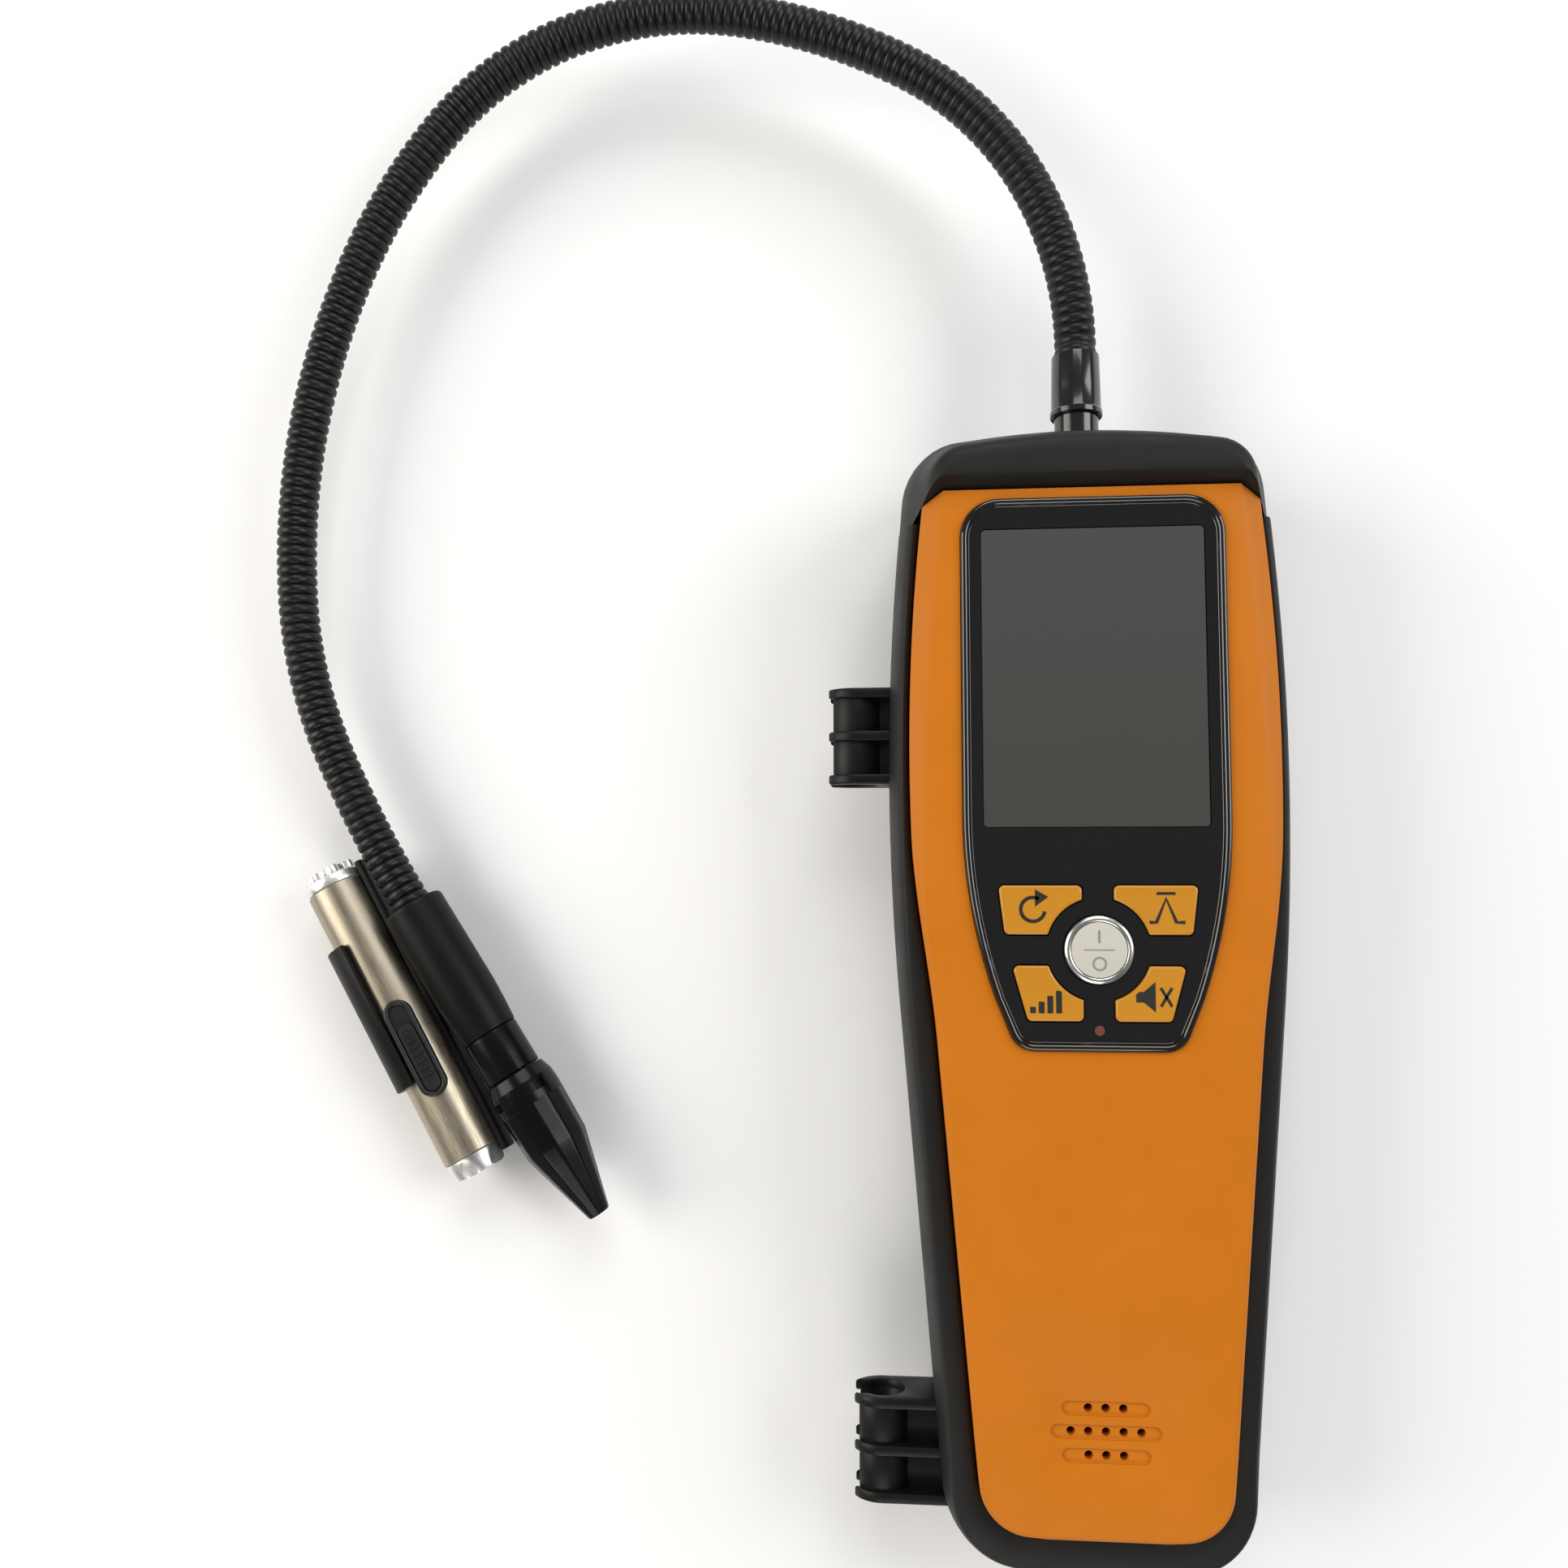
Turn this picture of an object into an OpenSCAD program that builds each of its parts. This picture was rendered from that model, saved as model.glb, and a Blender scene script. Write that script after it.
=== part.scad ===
// Portable gas detector with a gooseneck sensor probe and a clip-on pen torch.
// X runs across the display, Y towards the gooseneck and Z out of the display.
// The origin is the middle of the flat back that the instrument lies on.

/* [Case] */
// Length of the case
case_l = 207; // [200:1:215]
// Greatest width of the case
case_w = 72.8; // [70:0.2:76]
// Height of the orange face above the back
case_h = 38; // [36:0.5:40]
// Height of the rear cover
rear_h = 12; // [10:0.5:14]
// Wall of the moulded covers
wall = 2.2; // [1.8:0.1:2.6]
// Gap between moulded pieces
gap = 0.15; // [0.1:0.05:0.25]

/* [Display and keys] */
// Width of the gloss panel
panel_w = 46.6; // [45:0.2:48]
// Width of the display window
window_w = 39.5; // [36:0.5:40]
// Height of the display window
window_h = 53.7; // [50:0.5:55]
// Radius of the power button
power_r = 6; // [5:0.25:6.5]
// Travel of each key
key_travel = 0.8; // [0.4:0.1:1]

/* [Gooseneck] */
// Radius of the gooseneck
neck_r = 4; // [3.8:0.1:4.2]
// Length of one gooseneck segment
seg_l = 35; // [33:0.5:36]
// Height of the gooseneck where it leaves the case
exit_z = 20; // [18:1:22]

/* [Probe] */
// Height of the probe axis above the table
probe_z = 10.5; // [10:0.5:12]
// Radius of the probe handle
handle_r = 6.25; // [6:0.05:6.4]
// Length of the probe handle
handle_l = 30.5; // [29:0.5:32]

/* [Torch] */
// Radius of the torch tube
torch_r = 6.2; // [6:0.1:6.3]
// Length of the torch
torch_l = 69; // [68:0.5:70]

/* [Side clips] */
// Radius of the clip bores, which hold the gooseneck
clip_bore_r = 4.05; // [4:0.05:4.2]
// Radius of the clip barrels
clip_r = 5.4; // [5.2:0.1:5.8]

/* [Hidden] */
$fn = 48;

eps = 0.01;
half_l = case_l / 2;
half_w = case_w / 2;
band_z = case_h - 5;          // top of the overmoulded band
face_t = 3;                   // thickness of the orange face
panel_t = 2;                  // thickness of the gloss panel
rim_h = 0.8;                  // height of the panel's raised rim
panel_top = 86.9;
panel_bottom = -11.2;
window_bottom = 27.7;
cover_bottom = 93.6;          // distance from the middle to the orange cover's lower end
visor_y = 88.8;               // straight front edge of the top cap
cap_proud = 3;                // height of the top cap above the orange face
cap_hollow = wall + 3.5;      // how far in the cap's space lies where its wall leans
board_z = 24.5;
board_t = 1.6;
power_y = 6.4;
led_y = -7.6;
key_arc_r = 9.1;              // the keys are cut back to this radius round the power button
key_proud = 0.6;
key_gap = 0.25;
grille_y = -75.3;
grille_pitch = 2.97;
cell_r = 7.1;                 // size AA cells
cell_l = 50;
cell_x = 7.4;
cell_y = -83;                 // lower ends of the cells
cell_z = wall + 0.4 + cell_r;
screw_places = [[-25, 80], [25, 80], [-22.5, -8], [22.5, -8]];
boss_r = 3.2;
door_half_w = 16;
door_top = -26;
clip_z = 18;

// ---- gooseneck route ----
// turn of each segment to the left, in degrees, from the case to the probe
turns = [28, 31, 17, 29, 33, 18, 14, 14, 21, 8];
tube_r = neck_r - 0.4;        // core of the gooseneck inside its ribs
chords = 3;                   // straight lengths in a segment, with a knuckle between them
knuckle_r = tube_r + 0.05;
ball_r = neck_r - 0.2;
cup_r = neck_r + 0.1;
exit = [0, half_l + 17.7, exit_z];
function heading(i) = i == 0 ? 90 : heading(i - 1) + turns[i - 1];
function bend_r(i) = seg_l / turns[i] * 180 / PI;
// start of segment i in the gooseneck's own plane, measured from the exit
function place(i) = i == 0 ? [0, 0] :
    let (h = heading(i - 1), n = heading(i), r = bend_r(i - 1))
    place(i - 1) + r * [sin(n) - sin(h), cos(h) - cos(n)];
probe_turn = heading(10);
probe_dir = [cos(probe_turn), sin(probe_turn)];
probe_side = [-sin(probe_turn), cos(probe_turn)];
tip_side = place(10) * probe_side;
// the gooseneck's plane leans about the probe's direction, so the probe lies level
lean = asin((probe_z - exit_z) / tip_side);
probe_at = [exit.x, exit.y, 0] + [0, 0, probe_z]
    + [each probe_dir * (place(10) * probe_dir) + probe_side * tip_side * cos(lean), 0];

// ---- torch place on the probe ----
torch_z = 7.9;
torch_turn = -3.8;
torch_back = [-16.3, -12.0];  // tail end, along and across the probe
holder_gap = 0.25;
holder_r = torch_z;
lip_edge = -1.85;             // the lip stops this far short of the top of the tube
switch_tilt = 13;             // the switch leans this far from the top of the tube, to the probe
switch_at = 30.8;
switch_l = 21;
switch_w = 5.7;
slider_travel = 4;

// ---- outlines ----
function arc_points(c, r, a0, a1, n) =
    [for (i = [0:n]) let (a = a0 + (a1 - a0) * i / n) c + r * [cos(a), sin(a)]];
function both_sides(half) =
    concat(half, [for (i = [len(half) - 1:-1:0]) if (half[i].x > eps) [-half[i].x, half[i].y]]);

// half-width of the case: one long arc to the widest place, then a straight taper
case_wide_y = 38;
case_side_r = 506;
case_knee_y = -4;
case_taper = (case_wide_y - case_knee_y) / case_side_r;
function case_x(y) = y > case_knee_y ? half_w - pow(y - case_wide_y, 2) / 2 / case_side_r
    : case_x(case_knee_y + eps) - case_taper * (case_knee_y - y);
function case_half(inset) = concat(
    [for (x = [0:7:21]) [x, half_l - inset - x * x / 300]],
    arc_points([21.8, half_l - 13.6], 12 - inset, 80, 6, 7),
    [for (y = [84:-11:-81]) [case_x(y) - inset, y]],
    arc_points([13.6, 14.7 - half_l], 14 - inset, -5, -85, 8),
    [for (x = [9.6:-4.8:0]) [x, inset + x * x / 300 - half_l]]);
module case_outline(inset = 0) polygon(both_sides(case_half(inset)));

// half-width of the orange cover: it narrows in a soft step beside the keys
function smooth_step(t) = let (u = min(max(t, 0), 1)) u * u * (3 - 2 * u);
function cover_line(y) = 28 + 0.086 * (y + 10) + 1.3 * smooth_step((y + 10) / 32);
function cover_x(y) = y < 10 ? cover_line(y) : min(half_w - 3.8 - pow(y - 41, 2) / 800, cover_line(y));
function cover_half(inset) = concat([[0, visor_y + 3 - inset]], [[cover_x(90) - inset, visor_y + 3 - inset]],
    [for (y = [82:-6:-82]) [cover_x(y) - inset, y]],
    arc_points([12.7, -84.6], 8.8 - inset, -6, -85, 7),
    [[0, inset - cover_bottom]]);
module cover_outline(inset = 0) polygon(both_sides(cover_half(inset)));

// gloss panel: straight sides, then one arc in to a short flat bottom
panel_side_r = 98;
panel_knee_y = 30;
function panel_x(y) = panel_w / 2 - (y > panel_knee_y ? 0
    : panel_side_r - sqrt(pow(panel_side_r, 2) - pow(panel_knee_y - y, 2)));
function panel_half(inset) = concat([[0, panel_top - inset]],
    arc_points([panel_w / 2 - 7, panel_top - 7], 7 - inset, 90, 0, 6),
    [for (y = [panel_knee_y:-4:-2]) [panel_x(y) - inset, y]],
    arc_points([11.2, panel_bottom + 4.5], 4.5 - inset, -22, -90, 5),
    [[0, panel_bottom + inset]]);
module panel_outline(inset = 0) polygon(both_sides(panel_half(inset)));

// everything above the top cap's front edge, whose corners are cut back
module cap_region(grow = 0) translate([0, -grow])
    polygon([[-60, 130], [60, 130], [60, 76], [33.6, 81.8], [30, 86.5], [26.2, visor_y],
             [-26.2, visor_y], [-30, 86.5], [-33.6, 81.8], [-60, 76]]);

// a flat slab whose upper edge is drawn in by edge, over the height edge
module edged_slab(h, edge) {
    linear_extrude(h - edge) children(0);
    translate([0, 0, h - edge]) linear_extrude(edge) children(1);
}

// the case's side walls lean in above their widest level: each course of a wall
// is the height it starts at and how far in it stands, and the last is its top
band_courses = [[rear_h, 0], [band_z - 9, 0.4], [band_z - 5, 1.1], [band_z - 2, 2], [band_z]];
cap_courses = [[rear_h, 0.3], [band_z - 9, 1], [band_z - 4, 2.3], [band_z, 3.6], [band_z + 4, 4.9],
               [case_h + cap_proud]];
module leaning_wall(courses) for (i = [0:len(courses) - 2]) translate([0, 0, courses[i][0]])
    linear_extrude(courses[i + 1][0] - courses[i][0]) case_outline(courses[i][1]);

// ---- case ----
module front_cover() color("#d9822b") difference() {
    translate([0, 0, rear_h + 2]) edged_slab(case_h - rear_h - 2, 1) {
        difference() { cover_outline(); cap_region(gap); }
        difference() { cover_outline(1); cap_region(gap); }
    }
    translate([0, 0, rear_h]) linear_extrude(case_h - face_t - rear_h) difference() {
        cover_outline(wall);
        for (p = screw_places) translate(p) circle(r = boss_r);
    }
    for (p = screw_places) translate([p.x, p.y, rear_h]) cylinder(r = 1.4, h = 12);
    translate([0, 0, case_h - panel_t + 0.2]) linear_extrude(panel_t) panel_outline(-0.1);
    translate([0, 0, rear_h]) linear_extrude(case_h) panel_outline(1.5);
    grille_holes();
    grille_slots();
}
module grille_holes() for (row = [-1:1], i = [-2:2])
    if (row == 0 || abs(i) < 2)
        translate([i * grille_pitch, grille_y + row * 3.9, rear_h]) cylinder(r = 0.75, h = case_h, $fn = 24);
module grille_slots() for (row = [-1:1]) {
    half = row == 0 ? 8.2 : 6.3;
    translate([0, grille_y + row * 3.9, case_h - 0.5]) {
        translate([-half, -1.2, 0]) cube([2 * half, 2.4, 1]);
        for (s = [-1, 1]) translate([s * half, 0, 0]) cylinder(r = 1.2, h = 1);
    }
}

module side_band() color("#32322e") difference() {
    leaning_wall(band_courses);
    translate([0, 0, rear_h - 1]) linear_extrude(case_h) cover_outline(-gap);
    translate([0, 0, rear_h - 1]) linear_extrude(case_h) cap_region();
    for (clip = clip_places) clip_root(clip, 0.05);
}

// the space inside the cap between two heights, this far in from the case's widest line
module cap_space(low, high, inset) translate([0, 0, low]) linear_extrude(high - low) intersection() {
    case_outline(inset);
    translate([-50, 60]) square([100, 60]);
}
module top_cap() color("#22221f") difference() {
    intersection() {
        leaning_wall(cap_courses);
        translate([0, 0, rear_h - 1]) linear_extrude(case_h) cap_region(-gap);
    }
    cap_space(rear_h - 1, band_z - 9, wall + 1);
    cap_space(band_z - 9.5, case_h - face_t - 1, cap_hollow);
    translate([0, 90, exit_z]) rotate([-90, 0, 0]) cylinder(r = neck_r + 0.3, h = 30);
}

module rear_cover() color("#2a2a28") difference() {
    union() {
        linear_extrude(2) case_outline(4);
        translate([0, 0, 2]) linear_extrude(2) case_outline(2);
        translate([0, 0, 4]) linear_extrude(rear_h - 4 - gap) case_outline(0.6);
    }
    difference() {
        translate([0, 0, wall + 0.3]) linear_extrude(rear_h) case_outline(4.4);
        for (p = screw_places) translate([p.x, p.y, 0]) cylinder(r = boss_r + 0.8, h = rear_h);
    }
    translate([-door_half_w - gap, -half_l - 5, -1])
        cube([2 * (door_half_w + gap), half_l + 5 + door_top + gap, 5]);
    for (p = screw_places) translate([p.x, p.y, -1]) {
        cylinder(r = 1.5, h = rear_h + 2);
        cylinder(r = 3, h = 4.1);
    }
}

module battery_door() color("#2c2c2a") difference() {
    translate([0, 0, 0.1]) linear_extrude(wall) intersection() {
        case_outline(4);
        translate([-door_half_w, -half_l]) square([2 * door_half_w, half_l + door_top]);
    }
    // thumb grip: three shallow grooves across the door
    for (i = [0:2]) translate([-7, -40 - 3 * i, -eps]) cube([14, 1.2, 0.6]);
}

module case_gasket() color("#151515") translate([0, 0, rear_h + gap]) linear_extrude(1.5)
    difference() { cover_outline(0.5); cover_outline(2); }

module case_screws() color("#b9b9b9") for (p = screw_places) translate([p.x, p.y, 0]) {
    difference() {
        translate([0, 0, 0.8]) cylinder(r = 2.7, h = 2.3);
        for (a = [0, 90]) rotate(a) translate([-1.6, -0.3, 0]) cube([3.2, 0.6, 1.8]);
    }
    translate([0, 0, 3]) cylinder(r = 1.35, h = rear_h + 6);
}

// ---- display and keys ----
module bezel_panel() color("#20201f") translate([0, 0, case_h - panel_t + 0.2]) difference() {
    union() {
        linear_extrude(panel_t) panel_outline();
        difference() {
            linear_extrude(panel_t + rim_h) panel_outline();
            linear_extrude(panel_t + 1) panel_outline(1.2);
        }
    }
    translate([-window_w / 2, window_bottom, -1]) cube([window_w, window_h, 5]);
    translate([0, 0, -1]) linear_extrude(5) for (s = [-1, 1]) {
        key_outline(upper_key(key_gap), s, key_gap);
        key_outline(lower_key(key_gap), s, key_gap);
    }
    translate([0, power_y, -1]) cylinder(r = power_r + 0.2, h = 5);
    translate([0, led_y, -1]) cylinder(r = 1, h = 5, $fn = 24);
}

module display_window() color([0.3, 0.3, 0.28, 0.6])
    translate([-window_w / 2 + 0.05, window_bottom + 0.05, case_h - 1.3])
        cube([window_w - 0.1, window_h - 0.1, 1.3]);

module lcd_module() color("#6b6a60") {
    translate([-20.6, window_bottom - 2, case_h - 6.2]) cube([41.2, window_h + 3.6, 4.3]);
    translate([-17, window_bottom - 4, case_h - 6.2]) cube([34, 2, 1.5]);
}

// corners of the keys on the right: the left ones mirror them
function upper_key(g) = [[2.76 - g, 17.6 + g], [17.24 + g, 17.6 + g], [16.18 + g, 9 - g], [2.76 - g, 9 - g]];
function lower_key(g) = [[2.72 - g, 3.6 + g], [14.99 + g, 3.6 + g], [12.32 + g, -6 - g], [2.72 - g, -6 - g]];
module key_outline(corners, side, g) difference() {
    polygon([for (c = corners) [side * c.x, c.y]]);
    translate([0, power_y]) circle(r = key_arc_r - g);
}
module key(corners, flange, side, stem_at) color("#d6961e") {
    translate([0, 0, case_h - 2.2]) linear_extrude(2.2 + 0.2 + key_proud) key_outline(corners, side, 0);
    translate([0, 0, case_h - 3]) linear_extrude(0.8) key_outline(flange, side, 0.6);
    translate([side * stem_at.x, stem_at.y, switch_top + key_travel + 0.2])
        cylinder(r = 1.8, h = case_h - 2.5 - switch_top - key_travel);
}
module reset_key() key(upper_key(0), upper_key(0.6), -1, upper_stem);
module peak_key() key(upper_key(0), upper_key(0.6), 1, upper_stem);
module sens_key() key(lower_key(0), lower_key(0.6), -1, lower_stem);
module mute_key() key(lower_key(0), lower_key(0.6), 1, lower_stem);
module power_button() color("#c4c1b6") translate([0, power_y, 0]) {
    translate([0, 0, case_h - 2.2]) cylinder(r = power_r, h = 2.2 + 1);
    translate([0, 0, case_h + 1]) cylinder(r1 = power_r, r2 = power_r - 0.6, h = 0.5);
    translate([0, 0, case_h - 3]) cylinder(r = power_r + 0.7, h = 0.8);
    translate([0, 0, switch_top + key_travel + 0.2])
        cylinder(r = 1.8, h = case_h - 2.5 - switch_top - key_travel);
}

upper_stem = [11.5, 13.2];
lower_stem = [9.8, -2.2];
switch_places = [[0, power_y], [-upper_stem.x, upper_stem.y], upper_stem,
                 [-lower_stem.x, lower_stem.y], lower_stem];
switch_top = board_z + board_t + 4.5;
module main_board() color("#1f5a37") difference() {
    translate([0, 0, board_z]) linear_extrude(board_t) intersection() {
        cover_outline(wall + 0.8);
        translate([-40, -14]) square([80, 98]);
    }
    for (p = screw_places) translate([p.x, p.y, 0]) cylinder(r = boss_r + 0.4, h = case_h);
}
module tact_switches() color("#3a3a3a") for (p = switch_places) translate([p.x, p.y, board_z + board_t]) {
    translate([-3, -3, 0]) cube([6, 6, 3.4]);
    translate([0, 0, 3.4]) cylinder(r = 1.6, h = 1.1);
}
module indicator_led() color("#8a3026") translate([0, led_y, board_z + board_t]) {
    cylinder(r = 1.5, h = 2);
    cylinder(r = 0.9, h = case_h + 0.1 - board_z - board_t, $fn = 24);
}
module speaker() color("#3c3c3c") translate([0, grille_y, case_h - face_t]) {
    translate([0, 0, -0.8]) difference() {
        cylinder(r = 11, h = 0.75);
        translate([0, 0, -1]) cylinder(r = 9.5, h = 3);
    }
    translate([0, 0, -2.2]) cylinder(r = 11, h = 1.41);
}
module battery_cells() color("#8d9aa0") for (s = [-1, 1], layer = [0, 1])
    translate([s * cell_x, cell_y, cell_z + layer * 2 * (cell_r + 0.1)]) rotate([-90, 0, 0]) {
        cylinder(r = cell_r, h = cell_l - 1);
        translate([0, 0, cell_l - 1 - eps]) cylinder(r = 2.7, h = 1);
    }
module battery_contacts() color("#c9c4b4") for (s = [-1, 1], layer = [0, 1], end = [0, 1])
    translate([s * cell_x - 5, cell_y + (end == 0 ? -1.2 : cell_l + 0.2),
               cell_z + layer * 2 * (cell_r + 0.1) - 5])
        cube([10, 1, 10]);

// ---- side clips ----
// middle of each barrel across the case, then its lower end and its length
clip_places = [[-42.7, 36.7, 18.4], [-38.2, -94.7, 18.6]];
clip_flange = 1.9;
clip_flange_r = clip_r + 0.7;
clip_mouth = 6.4;
clip_depth = 2;               // how far each clip's root goes into the band
function case_reach(clip) = -clip.x - case_x(clip.y + clip[2]) + 0.2;
module clip_root(clip, grow) translate([clip.x + clip_bore_r + 0.5, clip.y - grow, clip_z - 3 - grow])
    cube([case_reach(clip) - clip_bore_r - 0.5 + clip_depth + grow, clip[2] + 2 * grow, 6 + 2 * grow]);
module side_clip(clip) color("#242422") difference() {
    union() {
        difference() {
            translate([clip.x, clip.y, clip_z]) {
                rotate([-90, 0, 0]) cylinder(r = clip_r, h = clip[2]);
                for (i = [0:2]) translate([0, i * (clip[2] - clip_flange) / 2, 0]) {
                    rotate([-90, 0, 0]) cylinder(r = clip_flange_r, h = clip_flange);
                    translate([0, 0, -clip_flange_r]) cube([14, clip_flange, 2 * clip_flange_r]);
                }
            }
            linear_extrude(case_h) case_outline(-0.05);
        }
        clip_root(clip, 0);
    }
    translate([clip.x, clip.y - 1, clip_z]) {
        rotate([-90, 0, 0]) cylinder(r = clip_bore_r, h = clip[2] + 2);
        // mouth that the gooseneck snaps in through, facing out from the case
        translate([-12, 0, -clip_mouth / 2]) cube([12, clip[2] + 2, clip_mouth]);
    }
}
module upper_clip() side_clip(clip_places[0]);
module lower_clip() side_clip(clip_places[1]);

// ---- gooseneck ----
module along_y(y) translate([0, y, exit_z]) rotate([-90, 0, 0]) children();
module neck_socket() color("#1c1c1c") difference() {
    union() {
        along_y(half_l - 9.5) cylinder(r = neck_r + 0.2, h = 13.5);
        along_y(half_l - 9.5) cylinder(r = 7, h = 3, $fn = 6);
    }
    along_y(half_l - 10.5) cylinder(r = 2.6, h = 20);
}
module neck_sleeve() color("#1a1a1a") along_y(half_l + 4) rotate_extrude()
    polygon([[neck_r + 0.05, 0.05], [5, 0.05], [5, 1.2], [4.75, 1.6], [4.55, 12.2], [4.3, 12.2], [4.3, 6],
             [neck_r + 0.05, 6]]);
module neck_stub() color("#141414") difference() {
    union() {
        along_y(half_l + 4.05) cylinder(r = ball_r, h = 13.65);
        translate(exit) sphere(r = ball_r);
    }
    along_y(half_l + 3) cylinder(r = 2.4, h = 8);
}
module in_neck_plane() translate(exit) rotate(a = lean, v = [probe_dir.x, probe_dir.y, 0]) children();
// point k of a segment's arc, from 0 at its start
function on_arc(i, k) = let (h = heading(i), n = h + turns[i] * k / chords)
    place(i) + bend_r(i) * [sin(n) - sin(h), cos(h) - cos(n)];
module neck_segment(i) color("#141414") in_neck_plane() difference() {
    for (k = [1:chords]) {
        last = k == chords;
        chord = on_arc(i, k) - on_arc(i, k - 1);
        translate(on_arc(i, k - 1)) rotate([0, 90, atan2(chord.y, chord.x)]) {
            cylinder(r = tube_r, h = norm(chord) - (last && i == 9 ? 0.1 : 0));
            if (!last || i < 9) translate([0, 0, norm(chord)]) sphere(r = last ? ball_r : knuckle_r);
        }
    }
    translate(place(i)) rotate([0, 90, heading(i) + turns[i] / chords / 2]) sphere(r = cup_r);
}

// ---- probe: local X runs from the gooseneck to the tip ----
module on_probe(at = 0)
    translate(probe_at) rotate(probe_turn) translate([at, 0, 0]) rotate([0, 90, 0]) children();
module probe_handle() color("#212121") on_probe() difference() {
    rotate_extrude() polygon([[0, 0], [handle_r - 0.5, 0], [handle_r, 0.5], [handle_r, handle_l - 9],
        [handle_r - 0.6, handle_l], [0, handle_l]]);
    translate([0, 0, 2]) cylinder(r = 4.6, h = handle_l);
}
holder_end = handle_l + 9.5;
tip_at = 72.3;
module sensor_holder() color("#1d1d1d") on_probe() difference() {
    union() {
        translate([0, 0, handle_l + 0.1]) cylinder(r = 5.5, h = holder_end - handle_l);
        translate([0, 0, handle_l - 6]) cylinder(r = 4.5, h = 6.2);
        translate([0, 0, holder_end]) cylinder(r = 4.3, h = 6);
    }
    translate([0, 0, handle_l - 7]) cylinder(r = 3.4, h = 40);
}
module sensor_board() color("#1f5a37") on_probe(handle_l - 2) translate([-2.8, -0.5, 0]) cube([5.6, 1, 16]);
module sensor_can() color("#c8b27a") on_probe(holder_end + 6.05) difference() {
    union() { cylinder(r = 4.1, h = 6.5); cylinder(r = 4.3, h = 1); }
    translate([0, 0, 5.5]) cylinder(r = 3.2, h = 2);
}
module sensor_mesh() color("#b5b5b5") on_probe(handle_l + 22.1) difference() {
    cylinder(r = 3.1, h = 0.5);
    for (i = [-2:2], j = [-2:2]) if (norm([i, j]) < 2.3)
        translate([i, j, -1]) cylinder(r = 0.3, h = 3, $fn = 8);
}
module sensor_guard() color("#181818") on_probe() difference() {
    rotate_extrude() polygon([[4.4, holder_end + 0.2], [5.9, holder_end + 0.2], [6.6, 42.4], [6.9, 45.4],
        [6.45, 56.4], [2.3, tip_at - 0.3], [2, tip_at], [1.1, tip_at], [1.1, 64], [5, 55], [4.4, 50]]);
    for (a = [0:90:270]) rotate(a + 45) translate([5.6, -0.8, 43.6]) cube([3, 1.6, 1.6]);
}

// ---- torch: local X runs from its tail to its lens ----
module on_torch(at = 0) translate(probe_at) rotate(probe_turn)
    translate([each torch_back, torch_z - probe_z]) rotate(torch_turn) translate([at, 0, 0])
    rotate([0, 90, 0]) children();
module torch_holder() color("#1b1b1b") difference() {
    union() {
        // rail under the whole tube, then the lip that hooks over the middle of it
        on_torch(1.5) difference() {
            cylinder(r = holder_r, h = torch_l - 3);
            translate([0, 0, -1]) cylinder(r = torch_r + holder_gap, h = torch_l);
            translate([-20, -20, -1]) cube([17.5, 40, torch_l]);
            translate([-20, -20, -1]) cube([40, 17.5, torch_l]);
        }
        on_torch(16) difference() {
            cylinder(r = holder_r, h = 31.5);
            translate([0, 0, -1]) cylinder(r = torch_r + holder_gap, h = 40);
            translate([-25, lip_edge, -1]) cube([22, 40, 40]);
        }
    }
    on_probe(-2) cylinder(r = handle_r + 0.05, h = 60);
}
module torch_tube() color("#a99e8b") on_torch(4) difference() {
    cylinder(r = torch_r, h = torch_l - 8);
    translate([0, 0, -1]) cylinder(r = torch_r - 0.7, h = torch_l);
}
module torch_tail_cap() color("#d8d8d8") on_torch() difference() {
    union() {
        translate([0, 0, 1]) cylinder(r = torch_r - 0.3, h = 2.95);
        translate([0, 0, 3.9]) cylinder(r = torch_r - 0.8, h = 4);
        for (a = [0:60:300]) rotate(a) translate([torch_r - 2, 0, 0]) cylinder(r = 1.3, h = 2);
    }
    translate([0, 0, -1]) cylinder(r = 2, h = 2.6);
}
module torch_bezel() color("#dcdcdc") on_torch(torch_l - 4) difference() {
    union() {
        translate([0, 0, 0.05]) cylinder(r = torch_r - 0.1, h = 3.95);
        translate([0, 0, -3.9]) cylinder(r = torch_r - 0.8, h = 4);
    }
    translate([0, 0, -5]) cylinder(r = 4.6, h = 12);
    for (a = [30:60:330]) rotate(a) translate([torch_r + 0.6, 0, 1.6]) rotate([0, 45, 0]) cube([2, 4, 2], center = true);
}
module torch_lens() color([0.9, 0.93, 0.95, 0.4]) on_torch(torch_l - 3) cylinder(r = 4.55, h = 1.2);
module torch_led() color("#e8d36a") on_torch(torch_l - 12) {
    cylinder(r = 5.3, h = 1);
    cylinder(r = 1.5, h = 3);
}
module torch_battery() color("#4a6d8c") on_torch(8.4) {
    cylinder(r = 5.2, h = 44.5);
    cylinder(r = 1.8, h = 45.5);
}
module on_switch(at) on_torch(at) rotate(-switch_tilt) children();
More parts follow.
